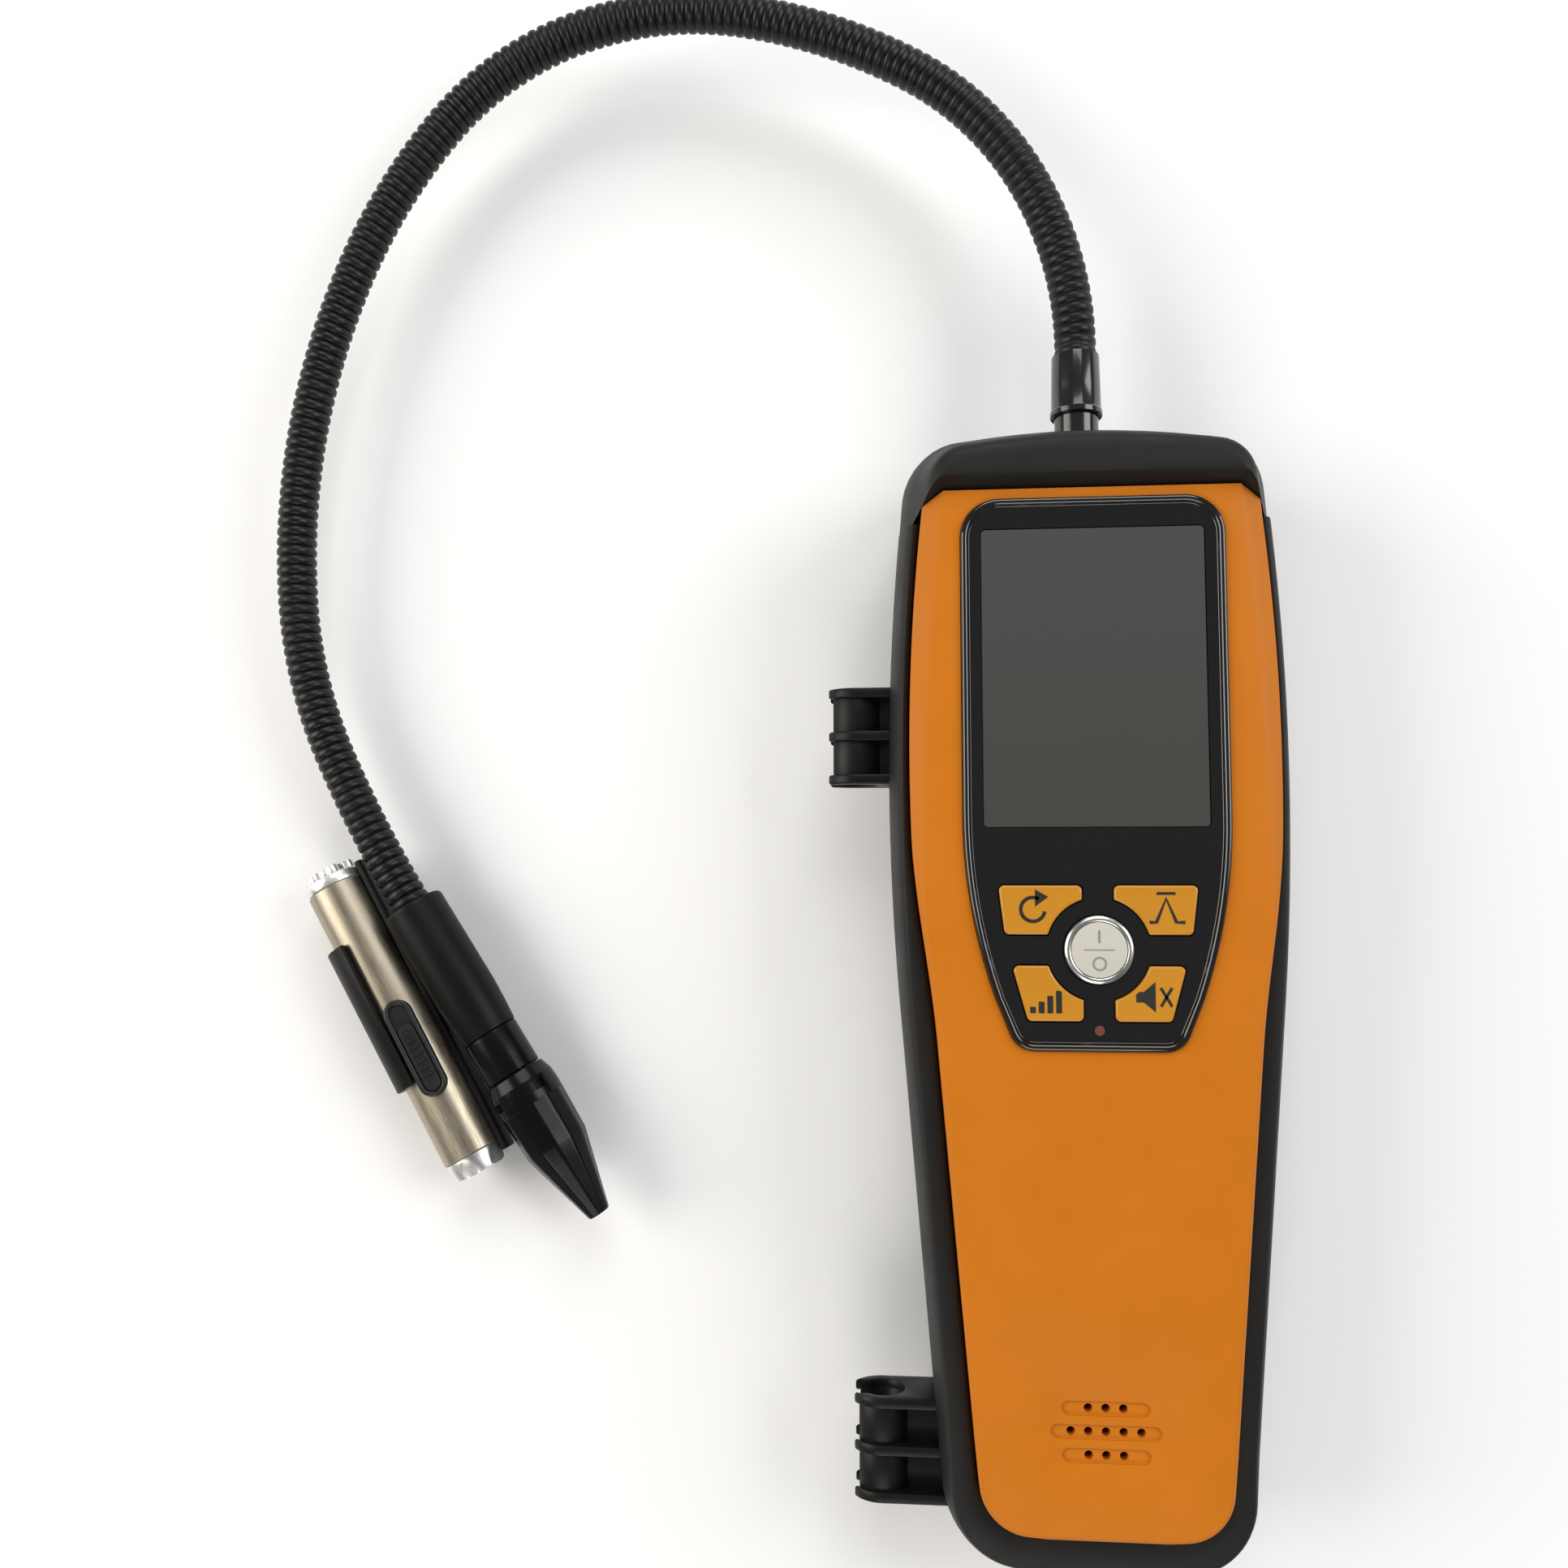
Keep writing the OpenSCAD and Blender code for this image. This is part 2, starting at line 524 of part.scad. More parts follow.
// an oblong pad of length l and width w that stands h out of the top of the tube
module pill(l, w, h) {
    for (end = [w / 2, l - w / 2]) translate([0, 0, end]) rotate([0, -90, 0]) cylinder(d = w, h = h);
    translate([-h, -w / 2, w / 2]) cube([h, w, l - w]);
}
module switch_plate() color("#151515") on_switch(switch_at) difference() {
    pill(switch_l, switch_w, torch_r + 1);
    translate([0, 0, -5]) cylinder(r = torch_r + 0.02, h = 40);
    translate([-torch_r - 0.4, 0, 1]) pill(switch_l - 2, switch_w - 1.8, 5);
}
module switch_slider() color("#1e1e1e") on_switch(switch_at + 1 + slider_travel + 0.2) {
    translate([-torch_r - 0.55, 0, 0]) pill(switch_l - 2 - slider_travel - 0.4, switch_w - 2.2, 1.1);
    for (i = [0:5]) translate([-torch_r - 2, -1.2, 3.4 + 1.5 * i]) cube([0.5, 2.4, 0.6]);
}

front_cover();
side_band();
top_cap();
rear_cover();
battery_door();
case_gasket();
case_screws();
bezel_panel();
display_window();
lcd_module();
main_board();
tact_switches();
indicator_led();
speaker();
battery_cells();
battery_contacts();
upper_clip();
lower_clip();
neck_socket();
neck_sleeve();
neck_stub();
reset_key();
peak_key();
sens_key();
mute_key();
power_button();
neck_segment(0);  // neck_1
neck_segment(1);  // neck_2
neck_segment(2);  // neck_3
neck_segment(3);  // neck_4
neck_segment(4);  // neck_5
neck_segment(5);  // neck_6
neck_segment(6);  // neck_7
neck_segment(7);  // neck_8
neck_segment(8);  // neck_9
neck_segment(9);  // neck_10
probe_handle();
sensor_holder();
sensor_board();
sensor_can();
sensor_mesh();
sensor_guard();
torch_holder();
torch_tube();
torch_tail_cap();
torch_bezel();
torch_lens();
torch_led();
torch_battery();
switch_plate();
switch_slider();
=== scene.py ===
import math

import bmesh
import bpy
import numpy as np
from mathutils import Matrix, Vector
from mathutils.geometry import delaunay_2d_cdt


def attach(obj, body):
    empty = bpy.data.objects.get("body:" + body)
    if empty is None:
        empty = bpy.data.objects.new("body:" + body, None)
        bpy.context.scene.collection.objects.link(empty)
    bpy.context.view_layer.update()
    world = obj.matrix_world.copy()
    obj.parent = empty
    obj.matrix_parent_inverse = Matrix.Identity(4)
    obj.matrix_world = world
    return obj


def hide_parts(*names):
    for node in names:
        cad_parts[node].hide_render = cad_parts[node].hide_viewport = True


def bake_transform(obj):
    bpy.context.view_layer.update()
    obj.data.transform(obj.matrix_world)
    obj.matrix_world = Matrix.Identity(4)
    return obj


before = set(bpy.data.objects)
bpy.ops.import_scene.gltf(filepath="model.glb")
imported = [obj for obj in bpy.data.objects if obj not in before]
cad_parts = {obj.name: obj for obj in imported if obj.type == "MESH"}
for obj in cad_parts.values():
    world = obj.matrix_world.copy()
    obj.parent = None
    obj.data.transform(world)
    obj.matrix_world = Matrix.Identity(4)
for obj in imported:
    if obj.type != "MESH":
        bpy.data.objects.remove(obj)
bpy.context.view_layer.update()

# ---- Camera ----
# A camera about 3 cm to the left of the case's middle and about 28 cm above the bench.
# It looks almost straight down, so both side walls of the case nearly vanish.
camera_lens = bpy.data.cameras.new("bench_camera")
camera_lens.lens = 30.75
camera_lens.sensor_width = 36
camera_lens.clip_start = 0.01
bench_camera = bpy.data.objects.new("bench_camera", camera_lens)
bench_camera.location = (-0.03395, 0.01827, 0.27716)
bench_camera.rotation_euler = [math.radians(a) for a in (4.163, 5.053, 0.012)]
bpy.context.scene.collection.objects.link(bench_camera)
bpy.context.scene.camera = bench_camera

# ---- Bench and light ----
# A white laminate bench top under soft boxes that stand round it, so flat gloss faces
# that look straight up see only the dim ceiling and stay dark.
bpy.context.scene.view_settings.view_transform = "Standard"


def linear(code):
    """An sRGB hex colour as the linear colour that a shader wants."""
    parts = [int(code[i:i + 2], 16) / 255 for i in (1, 3, 5)]
    return [c / 12.92 if c <= 0.04045 else ((c + 0.055) / 1.055) ** 2.4 for c in parts] + [1]


def add(tree, kind, inputs=None, **settings):
    """One shader node with its settings; inputs holds a value or a socket for each input."""
    made = tree.nodes.new("ShaderNode" + kind)
    for name, value in settings.items():
        setattr(made, name, value)
    for name, value in (inputs or {}).items():
        if isinstance(value, bpy.types.NodeSocket):
            tree.links.new(value, made.inputs[name])
        else:
            made.inputs[name].default_value = value
    return made


ceiling = bpy.data.worlds.new("dim_ceiling")
ceiling.use_nodes = True
ceiling.node_tree.nodes["Background"].inputs["Color"].default_value = linear("#f4f6ff")
ceiling.node_tree.nodes["Background"].inputs["Strength"].default_value = 0.22
bpy.context.scene.world = ceiling
for name, place, width, power, tint in (
        ("left_box", (-1.15, 0.15, 0.75), 0.9, 12, "#fffaf2"),
        ("right_box", (1.1, 0.35, 0.85), 0.8, 10, "#fdfdff"),
        ("top_box", (0.1, 1.2, 0.95), 0.9, 9, "#ffffff"),
        ("front_box", (-0.1, -1.15, 0.9), 0.8, 7, "#fffaf2")):
    lamp = bpy.data.lights.new(name, "AREA")
    lamp.size, lamp.energy, lamp.color = width, power, linear(tint)[:3]
    box = bpy.data.objects.new(name, lamp)
    box.location = place
    box.rotation_euler = Vector(place).to_track_quat("Z", "Y").to_euler()
    bpy.context.scene.collection.objects.link(box)

bench_mesh = bpy.data.meshes.new("bench_top")
bench_corners = [(x, y, -0.0003) for x, y in ((-3, -3), (3, -3), (3, 3), (-3, 3))]
bench_mesh.from_pydata(bench_corners, [], [(0, 1, 2, 3)])
bench_top = bpy.data.objects.new("bench_top", bench_mesh)
bpy.context.scene.collection.objects.link(bench_top)
laminate = bpy.data.materials.new("white_laminate")
laminate.use_nodes = True
laminate_shader = laminate.node_tree.nodes["Principled BSDF"]
laminate_shader.inputs["Base Color"].default_value = linear("#f6f6f5")
laminate_shader.inputs["Roughness"].default_value = 0.7
bench_mesh.materials.append(laminate)

# ---- Front cover ----
# The orange front half of the case: injection moulded ABS with a fine satin spark texture,
# a bevelled shoulder beside the display and a sounder grille, screwed on from behind.
half_length = 103.5
half_width = 36.4
face_z = 38
inside_z = 35        # the inner face of the front wall
seam_z = 14          # where the cover meets the rear half
seat_z = 36.2        # the ledge that the gloss panel sits on
slot_z = 37.5        # the floor of the grille's slots
visor_y = 88.8       # the top cap's straight front edge
visor_half = 26.2    # half the length of that edge
cover_top = visor_y - 0.1
cover_corner = (12.7, -84.6)


def arc(centre, radius, start, end, steps):
    """Points round an arc, between two angles in degrees."""
    turn = np.radians(np.linspace(start, end, steps + 1))
    return np.column_stack([centre[0] + radius * np.cos(turn), centre[1] + radius * np.sin(turn)])


def line(*points):
    """The straight runs between some points, each cut in pieces of about 5 mm."""
    out = []
    for a, b in zip(points, points[1:]):
        a, b = np.array(a, float), np.array(b, float)
        count = max(1, int(np.linalg.norm(b - a) / 5))
        out += [a + (b - a) * k / count for k in range(count)]
    return np.array(out + [np.array(points[-1], float)])


def both_sides(right):
    """A closed outline, anticlockwise, from its right half listed from the top to the bottom."""
    right = np.array(right, float)
    left = right * (-1, 1)
    left = left[np.abs(left[:, 0]) > 1e-6]
    return np.vstack([left, right[::-1]])


def inset(loop, distance):
    """An anticlockwise outline moved inwards by a distance, or by one distance for each point."""
    before, after = loop - np.roll(loop, 1, 0), np.roll(loop, -1, 0) - loop
    before /= np.linalg.norm(before, axis=1)[:, None]
    after /= np.linalg.norm(after, axis=1)[:, None]
    one, two = before[:, ::-1] * (-1, 1), after[:, ::-1] * (-1, 1)
    shift = (one + two) / (1 + (one * two).sum(1))[:, None]
    return loop + shift * np.broadcast_to(distance, len(loop))[:, None]


def at_height(loop, z):
    """A flat outline as points in space, all at one height or each at its own."""
    return np.column_stack([loop, np.broadcast_to(z, len(loop))])


def circle(centre, radius, steps=24):
    return arc(centre, radius, 0, 360, steps)[:-1]


def solid(name, walls, flats=(), crease=35):
    """A closed mesh, in millimetres. Each wall is a list of rings joined one to the next;
    each flat is an outer loop, followed by the holes in it."""
    made = bmesh.new()
    for rings in walls:
        rows = [[made.verts.new(Vector(p) / 1000) for p in ring] for ring in rings]
        for a, b in zip(rows, rows[1:]):
            for k in range(len(a)):
                made.faces.new((a[k - 1], a[k], b[k], b[k - 1]))
    for loops in flats:
        outer = np.array(loops[0], float)
        normal = np.cross(outer, np.roll(outer, -1, 0)).sum(0)
        normal /= np.linalg.norm(normal)
        across = np.cross(normal, (0, 0, 1) if abs(normal[2]) < 0.9 else (0, 1, 0))
        across /= np.linalg.norm(across)
        along = np.cross(normal, across)
        points = np.vstack(loops)
        edges, first = [], 0
        for loop in loops:
            edges += [(first + k, first + (k + 1) % len(loop)) for k in range(len(loop))]
            first += len(loop)
        flat = [Vector((p @ across, p @ along)) for p in points]
        places, _, faces = delaunay_2d_cdt(flat, edges, [], 0, 1e-7)[:3]
        level = points[0] @ normal
        starts = np.array([flat[a] for a, _ in edges])
        ends = np.array([flat[b] for _, b in edges])
        corners = {}
        for face in faces:
            x, y = np.mean([places[k] for k in face], 0)
            # a triangle is solid where a ray from its middle crosses the loops an odd number of times
            over = (starts[:, 1] > y) != (ends[:, 1] > y)
            rise = np.where(over, ends[:, 1] - starts[:, 1], 1)
            crossing = starts[:, 0] + (y - starts[:, 1]) / rise * (ends[:, 0] - starts[:, 0])
            if np.sum(over & (crossing > x)) % 2 == 0:
                continue
            for k in face:
                if k not in corners:
                    point = across * places[k].x + along * places[k].y + normal * level
                    corners[k] = made.verts.new(Vector(point) / 1000)
            made.faces.new([corners[k] for k in face])
    bmesh.ops.remove_doubles(made, verts=made.verts, dist=2e-6)
    bmesh.ops.dissolve_degenerate(made, edges=made.edges, dist=1e-7)
    bmesh.ops.recalc_face_normals(made, faces=made.faces)
    mesh = bpy.data.meshes.new(name)
    made.to_mesh(mesh)
    made.free()
    mesh.shade_smooth()
    mesh.set_sharp_from_angle(angle=math.radians(crease))
    piece = bpy.data.objects.new(name, mesh)
    bpy.context.scene.collection.objects.link(piece)
    return piece


def fit(piece, body, material, slot, *nodes):
    """Gives a piece its material, its body and the parts that it stands for."""
    piece.data.materials.append(material)
    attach(piece, body)
    if nodes:
        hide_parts(*nodes)
    return piece


def moulded(name, colour, roughness, grain, depth, patches=0.06, **sockets):
    """A moulded plastic or rubber: grain is the size in mm of the texture that the tool's spark
    erosion leaves and depth its depth in mm; patches is how far handling changes the gloss."""
    made = bpy.data.materials.new(name)
    made.use_nodes = True
    tree = made.node_tree
    shader = tree.nodes["Principled BSDF"]
    shader.inputs["IOR"].default_value = 1.53
    for socket, value in sockets.items():
        shader.inputs[socket.replace("_", " ")].default_value = value
    where = add(tree, "TexCoord").outputs["Object"]
    smear = add(tree, "TexNoise", {"Vector": where, "Scale": 1000 / 14, "Detail": 3, "Roughness": 0.6})
    texture = add(tree, "TexNoise", {"Vector": where, "Scale": 1000 / grain, "Detail": 2})
    gloss = add(tree, "MapRange", {"Value": smear.outputs["Fac"], "From Min": 0.3, "From Max": 0.7,
                                   "To Min": max(roughness - patches, 0.02), "To Max": roughness + patches})
    deep, pale = linear(colour), linear(colour)
    deep[:3] = [c * 0.93 for c in deep[:3]]
    pale[:3] = [min(c * 1.06, 1) for c in pale[:3]]
    tone = add(tree, "Mix", {"Factor": smear.outputs["Fac"]}, data_type="RGBA")
    tone.inputs[6].default_value, tone.inputs[7].default_value = deep, pale
    relief = add(tree, "Bump", {"Height": texture.outputs["Fac"], "Strength": 1, "Distance": depth / 1000})
    tree.links.new(tone.outputs[2], shader.inputs["Base Color"])
    tree.links.new(gloss.outputs["Result"], shader.inputs["Roughness"])
    tree.links.new(relief.outputs["Normal"], shader.inputs["Normal"])
    return made


def smooth_step(t):
    """A rise from 0 to 1 that starts and ends level."""
    t = min(max(t, 0), 1)
    return t * t * (3 - 2 * t)


def cover_x(y):
    """Half the width of the front cover."""
    side = 28 + 0.086 * (y + 10) + 1.3 * smooth_step((y + 10) / 32)
    return side if y < 10 else min(half_width - 3.8 - (y - 41) ** 2 / 800, side)


def panel_loop(gap):
    """The gloss panel's outline, straight at the sides and then narrowing to a short flat foot."""
    knee, swing = 30, 98
    right = [(0, 86.9 - gap), (8, 86.9 - gap)]
    right += list(arc((16.3, 79.9), 7 - gap, 90, 0, 10))
    for y in np.arange(76, -3, -3.25):
        narrower = 0 if y > knee else swing - math.sqrt(swing ** 2 - (knee - y) ** 2)
        right.append((23.3 - gap - narrower, y))
    right += list(arc((11.2, -6.7), 4.5 - gap, -22, -90, 8)) + [(5, -11.2 + gap), (0, -11.2 + gap)]
    return both_sides(right)


cover_right = [*line((0, cover_top), (visor_half, cover_top)), (28.2, 87.5), (30.02, 86.4)]
corner_from = len(cover_right)
cover_right += [(cover_x(y), y) for y in np.arange(83, -82, -3)]
cover_right += [*arc(cover_corner, 8.8, -6, -85, 12), (10, -93.6), (5, -93.6), (0, -93.6)]
# how far in from the wall the shoulder's crease lies: wide beside the display, and only the
# usual rounded edge further down
shoulder = []
for k, (x, y) in enumerate(cover_right):
    if k < corner_from:
        shoulder.append(0)
    else:
        crease_x = 30 + 0.0084 * (y - 10) - 0.000738 * (y - 10) ** 2
        shoulder.append(max(0.8, x - crease_x) if y > 10 else 0.8)
shoulder = np.array(shoulder)
shoulder_drop = np.where(shoulder > 0, 0.6 + (np.maximum(shoulder, 0.8) - 0.8) * 0.43, 1.85)


def both_values(right):
    """Values for the points of an outline that both_sides makes from its right half."""
    right = np.asarray(right, float)
    keep = np.abs(np.array(cover_right)[:, 0]) > 1e-6
    return np.concatenate([right[keep], right[::-1]])


folded = both_values([k in (corner_from - 2, corner_from - 1) for k in range(len(cover_right))]) > 0
fold_share = 0.97


def cover_ring(share, further, drop_share, further_down):
    """One ring up the cover's wall and shoulder: share of the way across the shoulder, and further."""
    distance = shoulder * share + np.where(shoulder > 0, further, 0)
    moved = inset(both_sides(cover_right), both_values(distance))
    ring = at_height(moved, face_z - both_values(shoulder_drop) * drop_share - further_down)
    # the corner under the top cap folds in to the crease's upper end
    across = (np.sign(ring[:, 0]) * visor_half - ring[:, 0]) * share * fold_share
    along = (cover_top - ring[:, 1]) * share * fold_share
    ring[:, 0] = np.where(folded, ring[:, 0] + across, ring[:, 0])
    ring[:, 1] = np.where(folded, ring[:, 1] + along, ring[:, 1])
    flat_top = np.abs(ring[:, 1] - cover_top) < 1e-6
    level = np.maximum(ring[:, 2], face_z - further_down)
    ring[:, 2] = np.where(flat_top & ~folded, level, ring[:, 2])
    return ring


cover_loop = both_sides(cover_right)
cover_wall = [at_height(cover_loop, seam_z), cover_ring(0, 0, 1, 0.5), cover_ring(0, 0.1, 1, 0.15),
              cover_ring(0.12, 0.12, 0.96, 0), cover_ring(0.5, 0, 0.5, 0), cover_ring(0.93, 0, 0.1, 0),
              cover_ring(1, 0.3, 0, 0)]
inner_loop = inset(cover_loop, 2.2)
panel_well, panel_ledge = panel_loop(-0.1), panel_loop(1.5)
grille_y, grille_pitch, grille_row = -75.3, 2.97, 3.9
slot_r, hole_r = 1.2, 0.75
holes, slots = [], []
for row in (-1, 0, 1):
    half = 8.2 if row == 0 else 6.3
    y = grille_y + row * grille_row
    slots.append(np.vstack([arc((half, y), slot_r, -90, 90, 10), arc((-half, y), slot_r, 90, 270, 10)]))
    reach = 2 if row == 0 else 1
    holes.append([circle((i * grille_pitch, y), hole_r, 16) for i in range(-reach, reach + 1)])
walls = [cover_wall,
         [at_height(inner_loop, inside_z), at_height(inner_loop, seam_z), at_height(cover_loop, seam_z)],
         [at_height(panel_well, face_z), at_height(panel_well, seat_z),
          at_height(panel_ledge, seat_z), at_height(panel_ledge, inside_z)]]
top_holes = [at_height(panel_well, face_z)]
low_holes = [at_height(panel_ledge, inside_z)]
flats = []
for slot_loop, row_holes in zip(slots, holes):
    edge = [at_height(inset(slot_loop, d), z) for d, z in (
        (-0.18, face_z), (-0.05, 37.96), (0, 37.85), (0.02, 37.6), (0.12, slot_z))]
    walls.append(edge)
    top_holes.append(edge[0])
    flats.append([edge[-1]] + [at_height(h, slot_z) for h in row_holes])
    for h in row_holes:
        walls.append([at_height(h, slot_z), at_height(h, inside_z)])
        low_holes.append(at_height(h, inside_z))
flats += [[cover_wall[-1], *top_holes], [at_height(inner_loop, inside_z), *low_holes]]
orange_abs = moulded("orange_abs", "#c4700f", 0.5, 0.35, 0.004, Specular_IOR_Level=0.18)
fit(solid("orange_front_cover", walls, flats, 28), "case", orange_abs, "orange_plastic", "front_cover")

# ---- Side band ----
# A soft rubber band moulded round the case, from under the top cap down each side and round
# the foot. Its wall leans in above the widest level, and a dark groove parts it from the orange.
back_edge = 12
foot_corner, foot_corner_r = (13.6, -88.8), 14


def case_x(y):
    """Half the width of the whole case."""
    bulge = half_width - (max(y, -4) - 38) ** 2 / 1012
    return bulge if y > -4 else bulge - 42 / 506 * (-4 - y)


band_inner = [(cover_x(y) + 0.15, y) for y in np.arange(84, -82, -3)]
band_outer = [(case_x(y), y) for y in np.arange(84, -82, -3)]
band_inner += [*arc(cover_corner, 8.95, -6, -85, 14), (9, -93.75), (4.5, -93.75), (0, -93.75)]
band_outer += [*arc(foot_corner, foot_corner_r, -5, -85, 14), (9.8, -103.18), (4.9, -103.42),
               (0, -half_length)]
band_inner, band_outer = np.array(band_inner), np.array(band_outer)
# across the band: share of its width, mm on from there, and height
band_section = [(0, 0, 31.6), (0, 0.15, 32.3), (0, 0.45, 32.8), (0, 0.85, 33.02), (1, -2.6, 33.05),
                (1, -2.25, 32.9), (1, -1.85, 32.4), (1, -1.45, 31.5), (1, -1.05, 30.3), (1, -0.65, 28.8),
                (1, -0.3, 27), (1, -0.08, 25.2), (1, 0, 23.5), (1, 0, 12.6), (1, -0.5, back_edge),
                (0, 0, back_edge)]
stations = []
for mirror in (1, -1):
    ends = list(zip(band_inner, band_outer))
    for a, b in ends if mirror > 0 else ends[-2::-1]:
        away = (b - a) / np.linalg.norm(b - a)
        section = [a + (b - a) * share + away * on for share, on, z in band_section]
        stations.append([(mirror * p[0], p[1], band_section[k][2]) for k, p in enumerate(section)])
band_rubber = moulded("satin_rubber", "#191917", 0.55, 0.3, 0.005, Specular_IOR_Level=0.25)
fit(solid("rubber_side_band", [stations], [[stations[0]], [stations[-1]]], 40), "case", band_rubber,
    "band_rubber", "side_band")

# ---- Top cap ----
# A rubber cap over the upper end, moulded with the band. It stands 3 mm above the orange face,
# and its front wall leans back and turns away in a cut corner at each side.
cap_z = face_z + 3


def front_edge(x):
    """How far up the case the cap's front edge lies, x mm from the middle."""
    return np.interp(abs(x), (0, visor_half, 30, 33.6, 60), (visor_y, visor_y, 86.5, 81.8, 76))


def cap_ring(outer_in, front_back, z):
    """One ring of the cap: its outer wall moved in, its front wall moved back."""
    outer = [(case_x(y) - outer_in, y) for y in np.arange(76, 84.1, 0.5)]
    outer += list(arc((21.8, 89.9), 12 - outer_in, 6, 80, 12))
    outer += [(x, half_length - outer_in - x * x / 300) for x in (21, 16, 11, 5.5, 0)]
    outer = np.array(outer)
    gap = np.array([y - front_edge(x) - front_back for x, y in outer])
    k = int(np.argmax(gap > 0))
    share = gap[k - 1] / (gap[k - 1] - gap[k])
    outer = np.vstack([outer[k - 1] + (outer[k] - outer[k - 1]) * share, outer[k:]])
    length = np.concatenate([[0], np.cumsum(np.linalg.norm(np.diff(outer, axis=0), axis=1))])
    even = np.linspace(0, length[-1], 26)
    outer = np.column_stack([np.interp(even, length, outer[:, i]) for i in (0, 1)])
    side = outer[0, 0]
    corner = min(visor_half, side - 1.2)
    across = [corner * s for s in (0, 0.25, 0.5, 0.75, 1)]
    across += [corner + (side - corner) * s for s in (0.25, 0.45, 0.65, 0.85)]
    front = [(x, front_edge(x) + front_back) for x in across]
    return at_height(both_sides(np.vstack([outer[::-1], front[::-1]])), z)


cap_rings = [cap_ring(outer_in, front_back, z) for outer_in, front_back, z in (
    (0.6, 0, back_edge), (0.1, 0, 12.5), (0.1, 0, 23), (0.35, 0, 25), (1, 0, 28), (1.9, 0, 30.6),
    (2.9, 0, 33), (3.75, 0, 35.5), (4.4, 0.3, 37.4), (4.85, 0.8, 38.7), (5.35, 1.35, 39.8), (6, 1.75, 40.5),
    (6.7, 2.05, 40.85), (7.5, 2.5, 40.97), (8.5, 3.3, cap_z))]
fit(solid("rubber_top_cap", [cap_rings], [[cap_rings[0]], [cap_rings[-1]]], 30), "case", band_rubber,
    "band_rubber", "top_cap")

# ---- Rear cover, door and seal ----
# The rear half of the case in black ABS with a coarse spark texture that hides scratches, its
# sliding battery door, a sealing gasket and four zinc-plated screws.
rear_abs = moulded("textured_black_abs", "#282826", 0.6, 0.7, 0.02)
seal_rubber = moulded("seal_rubber", "#161616", 0.7, 0.5, 0.01)


def metal(name, colour, roughness, lines, along=(1, 1, 1), turned=0, depth=0.002, **sockets):
    """A bare or plated metal: lines is the spacing in mm of its tool marks, along stretches them
    one way, and turned is the heading of that way in degrees."""
    made = bpy.data.materials.new(name)
    made.use_nodes = True
    tree = made.node_tree
    shader = tree.nodes["Principled BSDF"]
    shader.inputs["Metallic"].default_value = 1
    for socket, value in sockets.items():
        shader.inputs[socket.replace("_", " ")].default_value = value
    where = add(tree, "TexCoord").outputs["Object"]
    facing = add(tree, "Mapping", {"Vector": where, "Rotation": (0, 0, -math.radians(turned))})
    stretched = add(tree, "Mapping", {"Vector": facing.outputs["Vector"], "Scale": along})
    marks = add(tree, "TexNoise", {"Vector": stretched.outputs["Vector"], "Scale": 1000 / lines,
                                   "Detail": 4})
    gloss = add(tree, "MapRange", {"Value": marks.outputs["Fac"], "From Min": 0.3, "From Max": 0.7,
                                   "To Min": roughness * 0.75, "To Max": roughness * 1.3})
    tone = add(tree, "Mix", {"Factor": marks.outputs["Fac"]}, data_type="RGBA")
    base = linear(colour)
    tone.inputs[6].default_value = [c * 0.86 for c in base[:3]] + [1]
    tone.inputs[7].default_value = [min(1, c * 1.1) for c in base[:3]] + [1]
    relief = add(tree, "Bump", {"Height": marks.outputs["Fac"], "Strength": 1, "Distance": depth / 1000})
    tree.links.new(tone.outputs[2], shader.inputs["Base Color"])
    tree.links.new(gloss.outputs["Result"], shader.inputs["Roughness"])
    tree.links.new(relief.outputs["Normal"], shader.inputs["Normal"])
    return made


zinc_plate = metal("zinc_plated_steel", "#b9bab6", 0.3, 0.5)


def finish(material, *nodes):
    """Gives the parts that show as they are their material."""
    for name in nodes:
        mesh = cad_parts[name].data
        mesh.materials.clear()
        mesh.materials.append(material)


finish(rear_abs, "rear_cover", "battery_door")
finish(seal_rubber, "case_gasket")
finish(zinc_plate, "case_screws")

# ---- Gloss panel ----
# The glossy black panel round the display and keys, with a raised rounded rim. It is moulded in
# polished acrylic-capped ABS, with openings for the window, keys and light.
panel_z, rim_z, panel_back = 38.2, 39, 36.25
power_y = 6.4
key_cut_r = 9.1


def rounded(corners, radius, steps=6):
    """A polygon with its corners rounded, by one radius or by one for each corner."""
    corners = np.array(corners, float)
    radii = np.broadcast_to(radius, len(corners))
    out = []
    for k, (p, r) in enumerate(zip(corners, radii)):
        if r == 0:
            out.append(p)
            continue
        a, b = corners[k - 1] - p, corners[(k + 1) % len(corners)] - p
        a, b = a / np.linalg.norm(a), b / np.linalg.norm(b)
        half = math.acos(np.clip(a @ b, -1, 1)) / 2
        centre = p + (a + b) / np.linalg.norm(a + b) * r / math.sin(half)
        first, last = p + a * r / math.tan(half) - centre, p + b * r / math.tan(half) - centre
        start = math.atan2(first[1], first[0])
        sweep = (math.atan2(last[1], last[0]) - start + math.pi) % (2 * math.pi) - math.pi
        for s in range(steps + 1):
            turned = start + sweep * s / steps
            out.append(centre + r * np.array([math.cos(turned), math.sin(turned)]))
    return np.array(out)


